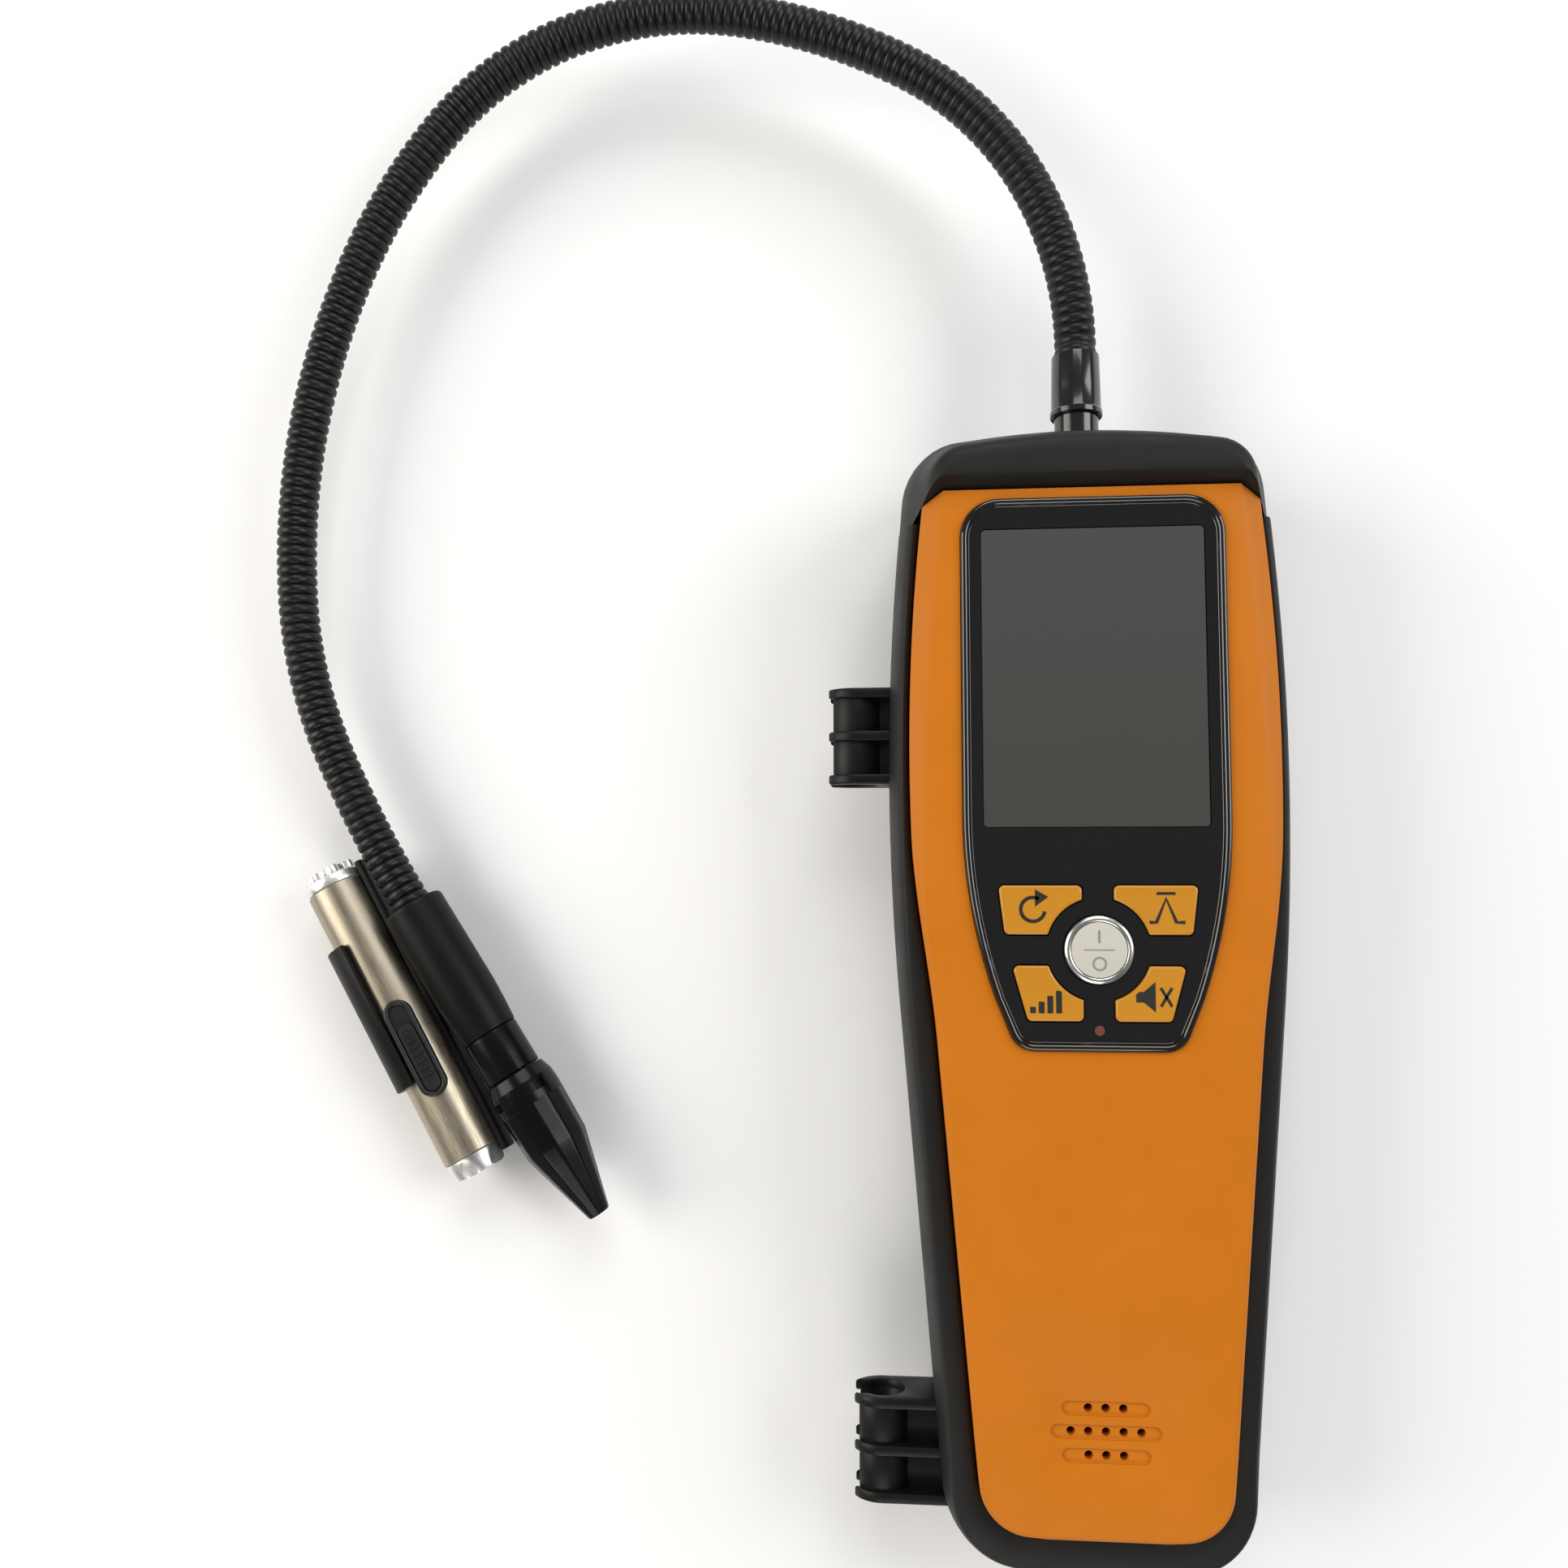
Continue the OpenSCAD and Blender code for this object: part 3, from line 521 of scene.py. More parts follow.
def key_loop(corners, side):
    """A key's outline on one side: a rounded polygon, cut back round the power button."""
    def reach(offset):
        return math.sqrt(key_cut_r ** 2 - offset ** 2)

    (x0, y0), (x1, y1), (x2, y2), (x3, y3) = corners
    if y0 > power_y + 5:          # upper key: the cut takes its lower inner corner
        start = math.degrees(math.atan2(y2 - power_y, reach(y2 - power_y)))
        end = math.degrees(math.atan2(reach(x3), x3))
        cut = arc((0, power_y), key_cut_r, start, end, 12)
        outline = [(x0, y0), *cut[::-1], (x2, y2), (x1, y1)]
        radii = [0.9] + [0.35] + [0] * 11 + [0.35, 0.9, 0.9]
    else:                         # lower key: the cut takes its upper inner corner
        start = math.degrees(math.atan2(-reach(x0), x0))
        end = math.degrees(math.atan2(y0 - power_y, reach(y0 - power_y)))
        cut = arc((0, power_y), key_cut_r, start, end, 12)
        outline = [*cut[::-1], (x3, y3), (x2, y2), (x1, y1)]
        radii = [0.35] + [0] * 11 + [0.35, 0.9, 0.9, 0.9]
    loop = rounded(outline, radii, 5)
    if side < 0:
        loop = (loop * (-1, 1))[::-1]
    return loop


key_corners = {"upper": [(2.76, 17.6), (17.24, 17.6), (16.18, 9), (2.76, 9)],
               "lower": [(2.72, 3.6), (14.99, 3.6), (12.32, -6), (2.72, -6)]}
key_loops = {"reset_key": key_loop(key_corners["upper"], -1), "peak_key": key_loop(key_corners["upper"], 1),
             "sens_key": key_loop(key_corners["lower"], -1), "mute_key": key_loop(key_corners["lower"], 1)}
window_corners = [(-19.75, 27.7), (19.75, 27.7), (19.75, 81.4), (-19.75, 81.4)]
panel_openings = [inset(loop, -0.25) for loop in key_loops.values()]
panel_openings += [rounded(window_corners, 1, 6), circle((0, power_y), 6.2, 48), circle((0, -7.6), 1, 20)]
rim = [at_height(panel_loop(d), z) for d, z in (
    (0.3, panel_back), (0, 36.5), (0, 38.2), (0.04, 38.5), (0.18, 38.78), (0.42, 38.95), (0.7, rim_z),
    (0.98, 38.94), (1.2, 38.76), (1.36, 38.48), (1.5, 38.24), (1.6, panel_z))]
walls = [rim] + [[at_height(o, panel_z), at_height(o, panel_back)] for o in panel_openings]
flats = [[rim[-1]] + [at_height(o, panel_z) for o in panel_openings],
         [rim[0]] + [at_height(o, panel_back) for o in panel_openings]]
piano_black = moulded("piano_black_acrylic", "#0b0b0a", 0.09, 0.9, 0.0004, 0.03,
                      Coat_Weight=0.6, Coat_Roughness=0.03)
fit(solid("gloss_panel", walls, flats, 40), "case", piano_black, "gloss_black", "bezel_panel")

# ---- Display ----
# A hard-coated window over a switched-off liquid-crystal display: a slightly warm grey
# under a gloss face, with a fine dark seam where it meets the panel. Painted shade and light run
# up the grey: darker and warmer at its lower end, lighter and more neutral at its upper end.
window_loop = rounded(window_corners, 0.9, 6)
glass = [at_height(inset(window_loop, d), z) for d, z in (
    (0.25, 36.8), (0.12, 37), (0.12, 38.02), (0.25, 38.13))]
display_grey = bpy.data.materials.new("coated_window_over_lcd")
display_grey.use_nodes = True
tree = display_grey.node_tree
shader = tree.nodes["Principled BSDF"]
shader.inputs["Roughness"].default_value = 0.06
shader.inputs["IOR"].default_value = 1.49
where = add(tree, "TexCoord").outputs["Object"]
apart = add(tree, "SeparateXYZ", {"Vector": where})
# painted shade and light: the grey is painted darker and warmer at the window's lower end and lighter at its
# upper end
painted_shade_ramp = add(tree, "MapRange", {"Value": apart.outputs["Y"], "From Min": 0.028, "From Max": 0.081})
cells = add(tree, "TexNoise", {"Vector": where, "Scale": 1000 / 0.5, "Detail": 2})
painted_shade_gradient = add(tree, "Mix", {"Factor": painted_shade_ramp.outputs["Result"]}, data_type="RGBA")
painted_shade_gradient.inputs[6].default_value, painted_shade_gradient.inputs[7].default_value = linear("#454440"), linear("#494a49")
speckle = add(tree, "Mix", {"Factor": cells.outputs["Fac"]}, data_type="RGBA", blend_type="MULTIPLY")
tree.links.new(painted_shade_gradient.outputs[2], speckle.inputs[6])
speckle.inputs[7].default_value = (0.9, 0.9, 0.9, 1)
tree.links.new(speckle.outputs[2], shader.inputs["Base Color"])
fit(solid("display_window_pane", [glass], [[glass[0]], [glass[-1]]], 30), "case", display_grey,
    "display_glass", "display_window")
lcd_body = moulded("lcd_body_plastic", "#6b6a60", 0.3, 0.6, 0.002)
finish(lcd_body, "lcd_module")

# ---- Keys ----
# Four amber keys of tinted ABS, each with a slightly dished top and a printed symbol: a turn-back
# arrow, a peak, rising bars and a crossed-out sounder. They press down into the panel.
amber_abs = moulded("amber_abs", "#c48418", 0.3, 0.5, 0.002, Coat_Weight=0.3, Coat_Roughness=0.2)
key_ink = moulded("black_key_ink", "#1d1a12", 0.5, 0.3, 0.001)


def print_on(name, loops, z, body, material, thick=0.05):
    """Printed or inlaid marks, each a closed outline, standing just clear of the face they are on."""
    walls, flats = [], []
    for loop in loops:
        low, high = at_height(loop, z - 0.1), at_height(loop, z + thick)
        walls.append([low, high])
        flats += [[low], [high]]
    return fit(solid(name, walls, flats), body, material, "key_plastic")


def stroke(points, width):
    """The outline of a pen stroke through some points."""
    points = np.array(points, float)
    ahead = np.gradient(points, axis=0)
    side = ahead[:, ::-1] * (-1, 1) / np.linalg.norm(ahead, axis=1)[:, None] * width / 2
    return np.vstack([points - side, (points + side)[::-1]])


key_top = 38.8
for name, loop in key_loops.items():
    rings = [at_height(inset(loop, d), z) for d, z in (
        (0.1, 35.8), (0, 36), (0, 38.42), (0.05, 38.6), (0.16, 38.73), (0.32, 38.79), (0.5, key_top),
        (0.68, 38.79), (0.85, 38.75), (1.0, 38.73))]
    fit(solid(name + "_cap", [rings], [[rings[0]], [rings[-1]]], 45), name, amber_abs, "key_plastic", name)
mark_z = 38.73
turn = arc((-11.3, 13.4), 2.1, 60, 350, 18)
marks = {"reset_key": [stroke(turn, 0.62), np.array([(-10.9, 16.9), (-10.9, 13.9), (-8.6, 15.6)])],
         "peak_key": [stroke([(8.7, 11.2), (9.9, 11.2), (11.6, 15.3), (13.3, 11.2), (14.8, 11.2)], 0.62),
                      stroke([(10, 16.2), (13.2, 16.2)], 0.5)],
         "sens_key": [rounded([(x, -4.6), (x + 1, -4.6), (x + 1, -4.6 + h), (x, -4.6 + h)], 0.15, 3)
                      for x, h in ((-12, 1.1), (-10.5, 2), (-9, 3), (-7.5, 3.9))],
         "mute_key": [np.array([(6.2, -2.6), (7.5, -2.6), (9.5, -4.3), (9.5, 0.9), (7.5, -0.8),
                                (6.2, -0.8)]),
                      stroke([(10.4, -3.3), (12.3, -0.1)], 0.5), stroke([(12.3, -3.3), (10.4, -0.1)], 0.5)]}
for name, loops in marks.items():
    print_on(name + "_symbol", loops, mark_z, name, key_ink)

# ---- Power button ----
# A round button with a bright chromed ring and a flat cap in pearl-white lacquer, engraved with the
# usual on and off signs either side of a line.
chrome_ring = metal("satin_chrome", "#cfcdc6", 0.28, 2.5)
white_lacquer = moulded("pearl_white_lacquer", "#c6c3b7", 0.35, 0.6, 0.001)
engraving = moulded("filled_engraving", "#8b8982", 0.5, 0.3, 0.001)


def lathe(name, profile, place, around=64, bore=False, crease=30):
    """A turned piece: profile lists (distance along the axis, radius) and place turns
    (along, sideways, up) into a point; with a bore the profile is a closed loop."""
    turn = np.linspace(0, 2 * math.pi, around, endpoint=False)
    rings = [[place(x, r * math.cos(t), r * math.sin(t)) for t in turn] for x, r in profile]
    if bore:
        return solid(name, [rings + rings[:1]], (), crease)
    return solid(name, [rings], [[rings[0]], [rings[-1]]], crease)


def on_power(z, a, b):
    """A point on the power button: z is its height, a and b lie across it."""
    return np.array([a, power_y + b, z])


power_ring = [(35.8, 5.9), (36, 6), (38.9, 6), (39.2, 5.88), (39.4, 5.62), (39.48, 5.35), (39.46, 5.15),
              (39.36, 4.98), (39.2, 4.92), (38.9, 4.9), (36, 4.9), (35.8, 5)]
fit(lathe("power_button_ring", power_ring, on_power, 72, True), "power_button", chrome_ring,
    "power_chrome", "power_button")
power_top = 39.3
power_face = [(36, 4.8), (39.1, 4.86), (39.24, 4.8), (power_top, 4.6)]
fit(lathe("power_button_face", power_face, on_power, 72), "power_button", white_lacquer, "power_chrome")
marks = [stroke([(-2.6, power_y), (2.6, power_y)], 0.22),
         stroke([(0, power_y + 1.2), (0, power_y + 3.4)], 0.4)]
rings = [at_height(circle((0, power_y - 2.4), r, 28), power_top + up) for r, up in (
    (1.25, -0.1), (1.25, 0.04), (0.9, 0.04), (0.9, -0.1), (1.25, -0.1))]
print_on("power_marks", marks, power_top, "power_button", engraving, 0.04)
fit(solid("power_off_mark", [rings]), "power_button", engraving, "power_chrome")

# ---- Inside the case ----
# The circuit board with its tactile switches, the indicator light's lens, the sounder and four AA
# cells in their contacts. They show only through the openings.
solder_mask = moulded("green_solder_mask", "#1f5a37", 0.35, 1.2, 0.004)
switch_nylon = moulded("black_nylon", "#333333", 0.5, 0.4, 0.003)
sounder_paper = moulded("sounder_cone", "#2c2c2c", 0.7, 0.5, 0.01)
tinted_lens = moulded("tinted_lens", "#6e4038", 0.2, 0.8, 0.001)
cell_sleeve = moulded("printed_cell_sleeve", "#8d9aa0", 0.3, 2, 0.002)
nickel = metal("nickel_plate", "#c9c4b4", 0.25, 0.4)
finish(solder_mask, "main_board")
finish(switch_nylon, "tact_switches")
finish(sounder_paper, "speaker")
finish(tinted_lens, "indicator_led")
finish(cell_sleeve, "battery_cells")
finish(nickel, "battery_contacts")

# ---- Side clips ----
# Two black nylon clips on the left of the case that hold the gooseneck in storage. Each is a
# C-shaped barrel with three thicker ribs that run in to the case, and its mouth faces out.
clip_nylon = moulded("black_clip_nylon", "#141413", 0.4, 0.5, 0.003, Specular_IOR_Level=0.2)
clip_z, bore_r, mouth_half = 18, 4.05, 3.2
rib_r, barrel_r = 6.1, 5.4
rib_root, barrel_root = 6.05, 3


def clip_section(outer_r, root_half, root_x):
    """The C of a clip, seen along its bore, from the lower lip round the outside and back inside."""
    lip = math.degrees(math.asin(mouth_half / outer_r))
    mouth = math.degrees(math.asin(mouth_half / bore_r))
    out_from = math.degrees(math.asin(root_half / outer_r))
    lower = arc((0, 0), outer_r, 180 + lip, 360 - out_from, 20)
    upper = arc((0, 0), outer_r, out_from, 180 - lip, 20)
    inside = arc((0, 0), bore_r, 180 - mouth, mouth - 180, 40)
    return np.vstack([lower, [(root_x, -root_half)], [(root_x, root_half)], upper, inside])


def slab(section, place, start, end, edge=0.3):
    """A section carried from start to end, with its edges softened at both ends."""
    steps = ((start, edge), (start + edge * 0.3, edge * 0.3), (start + edge, 0),
             (end - edge, 0), (end - edge * 0.3, edge * 0.3), (end, edge))
    rings = [[place(along, a, b) for a, b in inset(section, d)] for along, d in steps]
    return [rings], [[rings[0]], [rings[-1]]]


def join(name, parts, crease=35):
    """One piece from several closed bodies that are moulded together."""
    walls, flats = [], []
    for w, f in parts:
        walls += w
        flats += f
    return solid(name, walls, flats, crease)


def foot_x(y):
    """Half the width of the case, and of its rounded foot."""
    middle_x, middle_y = foot_corner
    if y > middle_y:
        return case_x(y)
    return middle_x + math.sqrt(foot_corner_r ** 2 - (y - middle_y) ** 2)


for name, x, y, length in (("upper_clip", -42.7, 36.7, 18.4), ("lower_clip", -38.2, -94.7, 18.6)):
    def place(along, a, b, x=x):
        return np.array([x + a, along, clip_z + b])

    rib, overlap, parts = 1.9, 0.4, []
    step = (length - rib) / 2
    for k in range(3):
        start = y + k * (length - rib) / 2
        reach = -x - foot_x(start) + 0.6
        parts.append(slab(clip_section(rib_r, rib_root, reach), place, start, start + rib, 0.35))
        if k < 2:
            barrel = clip_section(barrel_r, barrel_root, reach)
            parts.append(slab(barrel, place, start + rib - overlap, start + step + overlap, 0.1))
    fit(join(name + "_moulding", parts), "case", clip_nylon, "clip_plastic", name)

# ---- Gooseneck ----
# A posable steel gooseneck in a black ribbed vinyl sleeve, 8 mm across. It stays where it is
# bent. Ten lengths of sleeve, each shaped round one of the ten bending places inside, meet
# mid-way between them.
turns = [28, 31, 17, 29, 33, 18, 14, 14, 21, 8]
length_of_one = 35
neck_z = 20
neck_exit = np.array([0, half_length + 17.7, neck_z])
headings = [90 + sum(turns[:i]) for i in range(11)]


def arc_step(start, end, radius):
    """The way from one end of an arc to the other, from the headings at its ends."""
    return radius * np.array([math.sin(end) - math.sin(start), math.cos(start) - math.cos(end)])


knots = [np.zeros(2)]
for start, end in zip(headings, headings[1:]):
    bend = length_of_one / math.radians(end - start)
    knots.append(knots[-1] + arc_step(math.radians(start), math.radians(end), bend))
probe_heading = math.radians(headings[-1])
probe_way = np.array([math.cos(probe_heading), math.sin(probe_heading), 0])
probe_left = np.array([-probe_way[1], probe_way[0], 0])
probe_height = 10.5
lean = math.asin((probe_height - neck_z) / (knots[-1] @ probe_left[:2]))


def leaned(v):
    """Turns a direction in the gooseneck's own plane by the plane's lean about the probe's way."""
    v = np.array([*v, 0][:3], float)
    return (v * math.cos(lean) + np.cross(probe_way, v) * math.sin(lean)
            + probe_way * (probe_way @ v) * (1 - math.cos(lean)))


def route(s):
    """The middle of the gooseneck s mm from where it starts to bend, its way on and its left."""
    if s < 0:
        return neck_exit + np.array([0, s, 0]), np.array([0, 1.0, 0]), leaned((-1, 0))
    i = min(int(s / length_of_one), 9)
    turned = math.radians(headings[i] + turns[i] * (s - i * length_of_one) / length_of_one)
    start, bend = math.radians(headings[i]), length_of_one / math.radians(turns[i])
    flat = knots[i] + arc_step(start, turned, bend)
    return (neck_exit + leaned(flat), leaned((math.cos(turned), math.sin(turned))),
            leaned((-math.sin(turned), math.cos(turned))))


neck_vinyl = moulded("glossy_black_vinyl", "#0b0b0b", 0.4, 0.8, 0.002, 0.06, Specular_IOR_Level=0.3)
rib_pitch = length_of_one / 17
groove_r = 3.46
# across one rib: share of its pitch, and radius
rib_shape = [(0, groove_r), (0.07, 3.5), (0.15, 3.74), (0.27, 3.9), (0.42, 3.97), (0.6, 4), (0.76, 3.95),
             (0.88, 3.8), (0.96, 3.55)]
# distances either side of a joint, and before the first one, at which bend_from and bend_to are taken
spread, first_spread = 9, 1.8
neck_bodies = ["case"] + ["neck_%d" % i for i in range(1, 10)] + ["probe"]
for i, (a, b) in enumerate(zip(neck_bodies, neck_bodies[1:])):
    joint_at = i * length_of_one
    # whole ribs only, so the cut between two lengths lies in a groove
    first = -1 if i == 0 else round((joint_at - length_of_one / 2) / rib_pitch)
    until = 10 * length_of_one if i == 9 else joint_at + length_of_one / 2
    last = round(until / rib_pitch)
    rings = []
    for rib in range(first, last):
        for share, r in rib_shape:
            rings.append(((rib + share) * rib_pitch, r))
    rings.append((last * rib_pitch, groove_r))
    around, loops = 28, []
    for s, r in rings:
        middle, way, left = route(s)
        up = np.cross(way, left)
        loops.append([middle + r * (math.cos(t) * left + math.sin(t) * up)
                      for t in np.linspace(0, 2 * math.pi, around, endpoint=False)])
    sleeve = solid("gooseneck_sleeve_%d" % (i + 1), [loops], [[loops[0]], [loops[-1]]], 60)
    sleeve.data.materials.append(neck_vinyl)
    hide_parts("neck_%d" % (i + 1))
    bend_from = route(joint_at - (first_spread if i == 0 else spread))[0]
    bend_to = route(joint_at + spread)[0]
    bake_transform(sleeve)
finish(neck_vinyl, "neck_stub")

# ---- Gooseneck's mouth ----
# The threaded socket that clamps the gooseneck in the top of the case, and the short glossy
# strain-relief sleeve over it, moulded in black PVC with a small rim at its lower end.
gloss_pvc = moulded("gloss_black_pvc", "#171716", 0.16, 0.9, 0.001, 0.04,
                    Coat_Weight=0.4, Coat_Roughness=0.08)


def on_exit(y, a, b):
    """A point round the gooseneck's straight start, y mm up the case."""
    return np.array([a, y, neck_z + b])


mouth = [(107.6, 4.1), (107.55, 4.85), (107.75, 5), (108.6, 5), (108.8, 4.86), (109.1, 4.78), (113, 4.7),
         (119.3, 4.56), (119.62, 4.5), (119.7, 4.36), (119.6, 4.1), (117, 4.06), (113, 4.06)]
fit(lathe("strain_relief_sleeve", mouth, on_exit, 56, True), "case", gloss_pvc, "sleeve_plastic",
    "neck_sleeve")
finish(gloss_pvc, "neck_socket")

# ---- Probe handle ----
# The grip at the gooseneck's end, moulded in satin black ABS, parted by a fine dark seam from
# the glossy sensor holder in front of it.
satin_abs = moulded("satin_black_abs", "#0f0f0e", 0.42, 0.5, 0.003, Specular_IOR_Level=0.15)
gloss_abs = moulded("gloss_black_abs", "#090909", 0.24, 0.9, 0.001, 0.05, Specular_IOR_Level=0.2)
handle_top = neck_exit + leaned(knots[-1])


def on_probe(x, a, b):
    """A point on the probe: x mm on from the grip's upper end, a to its left and b up."""
    return handle_top + x * probe_way + a * probe_left + np.array([0, 0, b])


grip = [(0, 3.7), (0, 5.7), (0.12, 6), (0.45, 6.2), (0.9, 6.25), (21.5, 6.25), (26, 6.02), (30, 5.7),
        (30.35, 5.62), (30.45, 5.4), (30.45, 4.6)]
fit(lathe("probe_grip", grip, on_probe, 72), "probe", satin_abs, "probe_plastic", "probe_handle")
holder = [(30.55, 4.6), (30.55, 5.35), (30.7, 5.56), (31.1, 5.62), (36, 5.58), (39.7, 5.6), (39.95, 5.4),
          (39.95, 4.6)]
fit(lathe("sensor_holder_body", holder, on_probe, 72), "probe", gloss_abs, "probe_gloss", "sensor_holder")

# ---- Sensor guard ----
# The pull-off nose over the sensor, moulded in glossy black ABS: a flared collar with four square
# notches, a twelve-sided barrel and a cone down to the open tip.
guard_outside = [(40.15, 4.5), (40.15, 5.7), (40.3, 5.95), (41.3, 6.25), (42.3, 6.6), (42.6, 6.72),
                 (43.55, 6.8), (43.6, 6.8), (45.2, 6.88), (45.25, 6.88), (45.5, 6.86), (46.9, 6.8),
                 (47, 6.8), (50, 6.68), (53, 6.56), (56.2, 6.44), (56.5, 6.38), (60, 5.45), (64, 4.4),
                 (68, 3.34), (71.4, 2.45), (72, 2.28), (72.25, 2.1), (72.3, 1.85)]
guard_inside = [(72.2, 1.5), (71.8, 1.3), (64, 1.3), (56, 4.4), (45, 4.5)]
notch_from, notch_to, notch_depth, notch_half = 43.6, 45.2, 0.8, 7.6
flats_from, flats_share = 47, 0.974
rings = []
for k, (x, r) in enumerate(guard_outside + guard_inside):
    outside = k < len(guard_outside)
    ring = []
    for t in np.linspace(0, 360, 144, endpoint=False):
        reach = r
        if outside and x >= flats_from:
            off = (t + 15) % 30 - 15
            reach = min(r, r * flats_share / math.cos(math.radians(off)))
        if outside and notch_from <= x <= notch_to and abs((t % 90) - 45) < notch_half:
            reach = r - notch_depth
        ring.append(on_probe(x, reach * math.cos(math.radians(t)), reach * math.sin(math.radians(t))))
    rings.append(ring)
fit(solid("sensor_guard_nose", [rings + rings[:1]], (), 12), "sensor_guard", gloss_abs, "probe_gloss",
    "sensor_guard")

# ---- Sensor ----
# The sensor's brass can with its sintered steel mesh and its small circuit board, inside the nose.
brass = metal("turned_brass", "#c8b27a", 0.25, 0.3)
sintered = metal("sintered_steel", "#a9a9a6", 0.5, 0.15, depth=0.01)
finish(brass, "sensor_can")
finish(sintered, "sensor_mesh")
finish(solder_mask, "sensor_board")

# ---- Torch holder ----
# The open trough moulded beside the probe's grip: a rail under the whole torch and, along the
# middle, a springy lip that hooks over its top, in the same satin black ABS.
torch_turn = probe_heading - math.radians(3.8)
torch_way = np.array([math.cos(torch_turn), math.sin(torch_turn), 0])
torch_left = np.array([-torch_way[1], torch_way[0], 0])
torch_r, trough_r, trough_bore = 6.2, 7.9, 6.45
torch_tail = handle_top - 16.3 * probe_way - 12 * probe_left
torch_tail[2] = trough_r


def on_torch(x, a, b):
    """A point on the torch: x mm on from its tail, a to its left and b up."""
    return torch_tail + x * torch_way + a * torch_left + np.array([0, 0, b])


def trough(out_start, out_end, in_start, in_end):
    """A round-bottomed trough's section, from its outer face round to its inner face."""
    outside = arc((0, 0), trough_r, out_start, out_end, 26)
    inside = arc((0, 0), trough_bore, in_end, in_start, 26)
    return rounded(np.vstack([outside, inside]), [0.4] + [0] * 25 + [0.4, 0.4] + [0] * 25 + [0.4], 4)


parts = [slab(trough(251.6, 378.4, 247.2, 382.8), on_torch, 1.5, 67.5, 0.2),
         slab(trough(103.5, 300, 106.7, 300), on_torch, 16, 47.5, 0.2)]
fit(join("torch_trough", parts), "probe", satin_abs, "probe_plastic", "torch_holder")

# ---- Pen torch ----
# A slim steel torch brushed lengthwise, with a chromed lobed tail cap, a faceted chromed ring
# round the lens, a phosphor LED on its board and one AAA cell.
brushed_steel = metal("lengthwise_brushed_steel", "#b0a692", 0.4, 0.12, (0.03, 1, 1),
                      math.degrees(torch_turn), 0.001, Anisotropic=0.4, Anisotropic_Rotation=0.25)
bright_chrome = metal("bright_chrome", "#ececea", 0.34, 3, depth=0.0003)
barrel = [(4, 5.6), (4, 6.05), (4.12, 6.16), (4.4, torch_r), (64.6, torch_r), (64.88, 6.16), (65, 6.05),
          (65, 5.6)]
fit(lathe("torch_barrel", barrel, on_torch, 96, True), "torch", brushed_steel, "torch_steel", "torch_tube")
# six lobes, each part of a round of lobe_r about a middle lobe_out from the axis
lobe_out, lobe_r, lobe_root = 4.2, 1.3, 3.9
lobes = []
for x, grow in ((0.02, -0.35), (0.12, -0.12), (0.4, 0), (1.6, 0), (1.7, 0.15)):
    ring = []
    for t in np.linspace(0, 360, 120, endpoint=False):
        off = math.radians((t + 30) % 60 - 30)
        aside = lobe_out * math.sin(off)
        reach = lobe_root
        if abs(aside) < lobe_r:
            reach = max(reach, lobe_out * math.cos(off) + math.sqrt(lobe_r ** 2 - aside ** 2))
        reach += grow
        ring.append(on_torch(x, reach * math.cos(math.radians(t)), reach * math.sin(math.radians(t))))
    lobes.append(ring)
turn = np.linspace(0, 2 * math.pi, 120, endpoint=False)
for x, r in ((1.75, 5.6), (2, 5.85), (2.4, 5.95), (3.6, 6.0), (3.8, 5.95), (3.95, 5.7)):
    lobes.append([on_torch(x, r * math.cos(t), r * math.sin(t)) for t in turn])
fit(solid("torch_tail", [lobes], [[lobes[0]], [lobes[-1]]], 30), "torch", bright_chrome, "torch_chrome",
    "torch_tail_cap")
ring_line = [(65.05, 5), (65.05, 5.85), (65.2, 6.05), (65.6, 6.1), (66.2, 6.1), (67, 6.1), (68, 6.02),
             (68.8, 5.8), (69, 5.6), (69, 4.9), (68.6, 4.65), (66, 4.6)]
facet_first, facet_last, facet_half = 4, 9, 24
rings = []
for k, (x, r) in enumerate(ring_line):
    ring = []
    for t in np.linspace(0, 360, 144, endpoint=False):
        reach = r
        off = t % 60 - 30
        if facet_first <= k <= facet_last and abs(off) < facet_half:
            flat = 6.1 - (x - 66) * 0.16 - 0.12
            reach = min(r, flat / math.cos(math.radians(off)))
        ring.append(on_torch(x, reach * math.cos(math.radians(t)), reach * math.sin(math.radians(t))))
    rings.append(ring)
fit(solid("torch_lens_ring", [rings + rings[:1]], (), 14), "torch", bright_chrome, "torch_chrome",
    "torch_bezel")
lens_glass = bpy.data.materials.new("clear_lens")
lens_glass.use_nodes = True
shader = lens_glass.node_tree.nodes["Principled BSDF"]
shader.inputs["Base Color"].default_value = linear("#f4f8fa")
shader.inputs["Transmission Weight"].default_value = 1
shader.inputs["IOR"].default_value = 1.49
where = add(lens_glass.node_tree, "TexCoord").outputs["Object"]
haze = add(lens_glass.node_tree, "TexNoise", {"Vector": where, "Scale": 1000 / 2})
soft = add(lens_glass.node_tree, "MapRange", {"Value": haze.outputs["Fac"], "To Min": 0.02, "To Max": 0.07})
lens_glass.node_tree.links.new(soft.outputs["Result"], shader.inputs["Roughness"])
finish(lens_glass, "torch_lens")
phosphor = moulded("led_phosphor", "#e8d36a", 0.5, 0.4, 0.002)
finish(phosphor, "torch_led")
finish(cell_sleeve, "torch_battery")

# ---- Torch switch ----
# An oval switch let in to the top of the torch: a rubbery black surround with an arrow at each
# end and a ribbed slider in its recess.
switch_rubber = moulded("black_switch_rubber", "#121212", 0.4, 0.4, 0.003)
switch_tilt = math.radians(13)


def on_switch(x, a, b):
    """A point on the switch, which is turned a little round the torch."""
    return on_torch(x, a * math.cos(switch_tilt) + b * math.sin(switch_tilt),
                    b * math.cos(switch_tilt) - a * math.sin(switch_tilt))


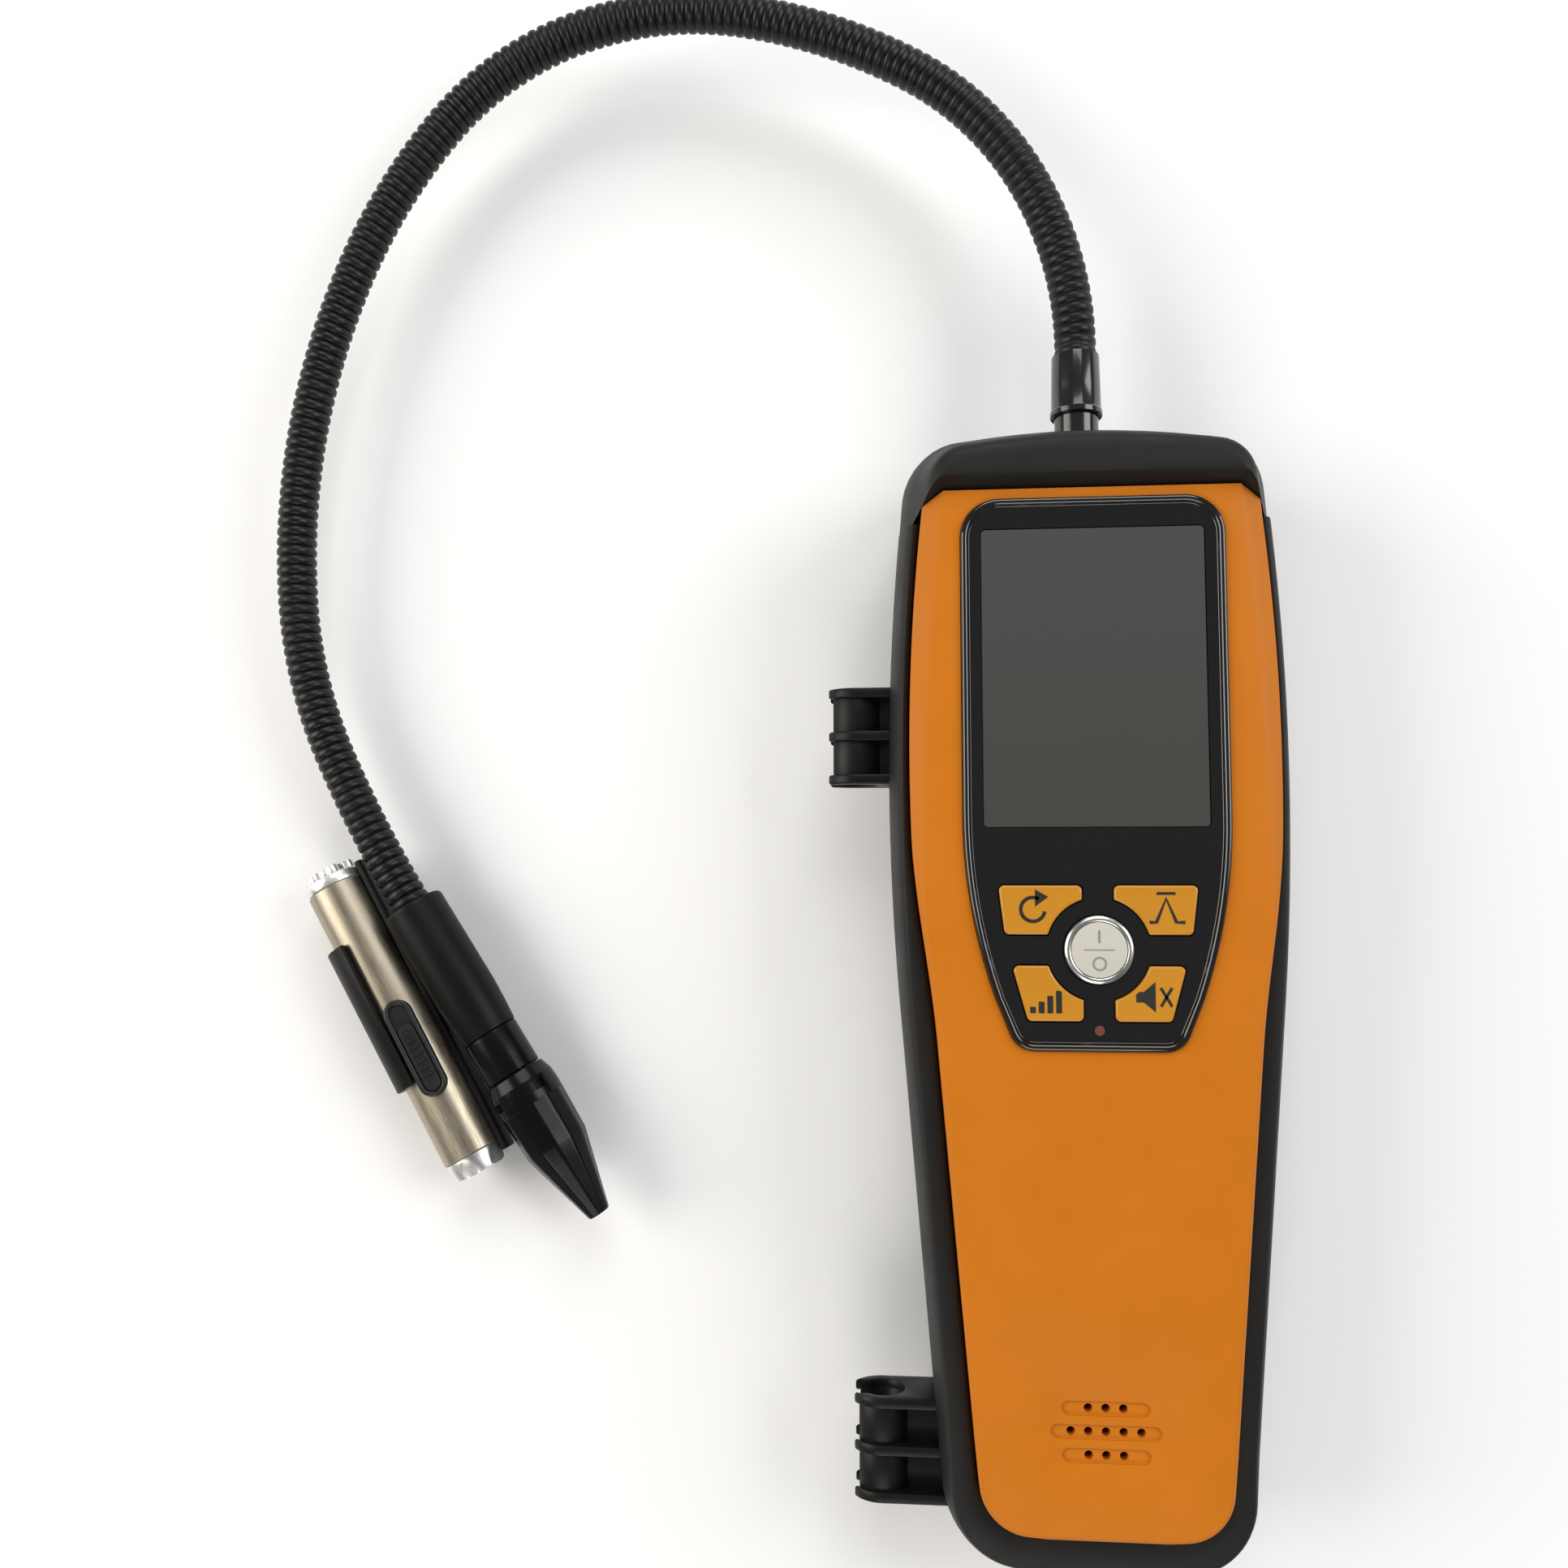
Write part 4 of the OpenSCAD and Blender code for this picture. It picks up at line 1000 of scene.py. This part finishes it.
def oblong(start, end, width):
    """An outline with round ends, from start to end along the torch."""
    r = width / 2
    return np.vstack([arc((end - r, 0), r, -90, 90, 14), arc((start + r, 0), r, 90, 270, 14)])


def on_tube(loop, height):
    """An outline level at a height above the torch's axis or, for a height of 0 or less, laid
    that far under its round surface."""
    if height > 0:
        return [on_switch(x, a, height) for x, a in loop]
    return [on_switch(x, a, math.sqrt(torch_r ** 2 - a ** 2) + height) for x, a in loop]


outer = oblong(30.8, 51.8, 5.7)
surround = [on_tube(inset(outer, d), height) for d, height in (
    (0, -0.3), (0, 6.75), (0.12, 6.98), (0.35, 7.12), (0.6, 7.15), (0.85, 7.08), (1, 6.9), (1.05, 6.5))]
fit(solid("switch_surround", [surround], [[surround[0]], [surround[-1]]], 40), "torch", switch_rubber,
    "switch_rubber", "switch_plate")
slide = oblong(36.1, 50.6, 3.3)
slider = [on_tube(inset(slide, d), height) for d, height in ((0, 6.55), (0, 6.95), (0.12, 7.1), (0.4, 7.16))]
parts = [([slider], [[slider[0]], [slider[-1]]])]
rib_long, rib_half = 0.35, 1.25
for k in range(6):
    mid = 39.6 + 1.5 * k
    rib = rounded([(mid - rib_long, -rib_half), (mid + rib_long, -rib_half), (mid + rib_long, rib_half),
                   (mid - rib_long, rib_half)], 0.25, 3)
    rings = [on_tube(rib, 7), on_tube(rib, 7.5), on_tube(inset(rib, 0.12), 7.62)]
    parts.append(([rings], [[rings[0]], [rings[-1]]]))
fit(join("switch_slider_ribs", parts), "torch_switch", switch_rubber, "switch_rubber", "switch_slider")
for name, tip, low, high, body in (("switch_arrow_fixed", 32.7, 6.4, 6.53, "torch"),
                                   ("switch_arrow_sliding", 37.1, 7.05, 7.3, "torch_switch")):
    arrow = np.array([(tip, 0), (tip + 1.6, -0.9), (tip + 1.1, 0), (tip + 1.6, 0.9)])
    rings = [on_tube(arrow, low), on_tube(arrow, high)]
    fit(solid(name, [rings], [[rings[0]], [rings[-1]]]), body, switch_rubber, "switch_rubber")
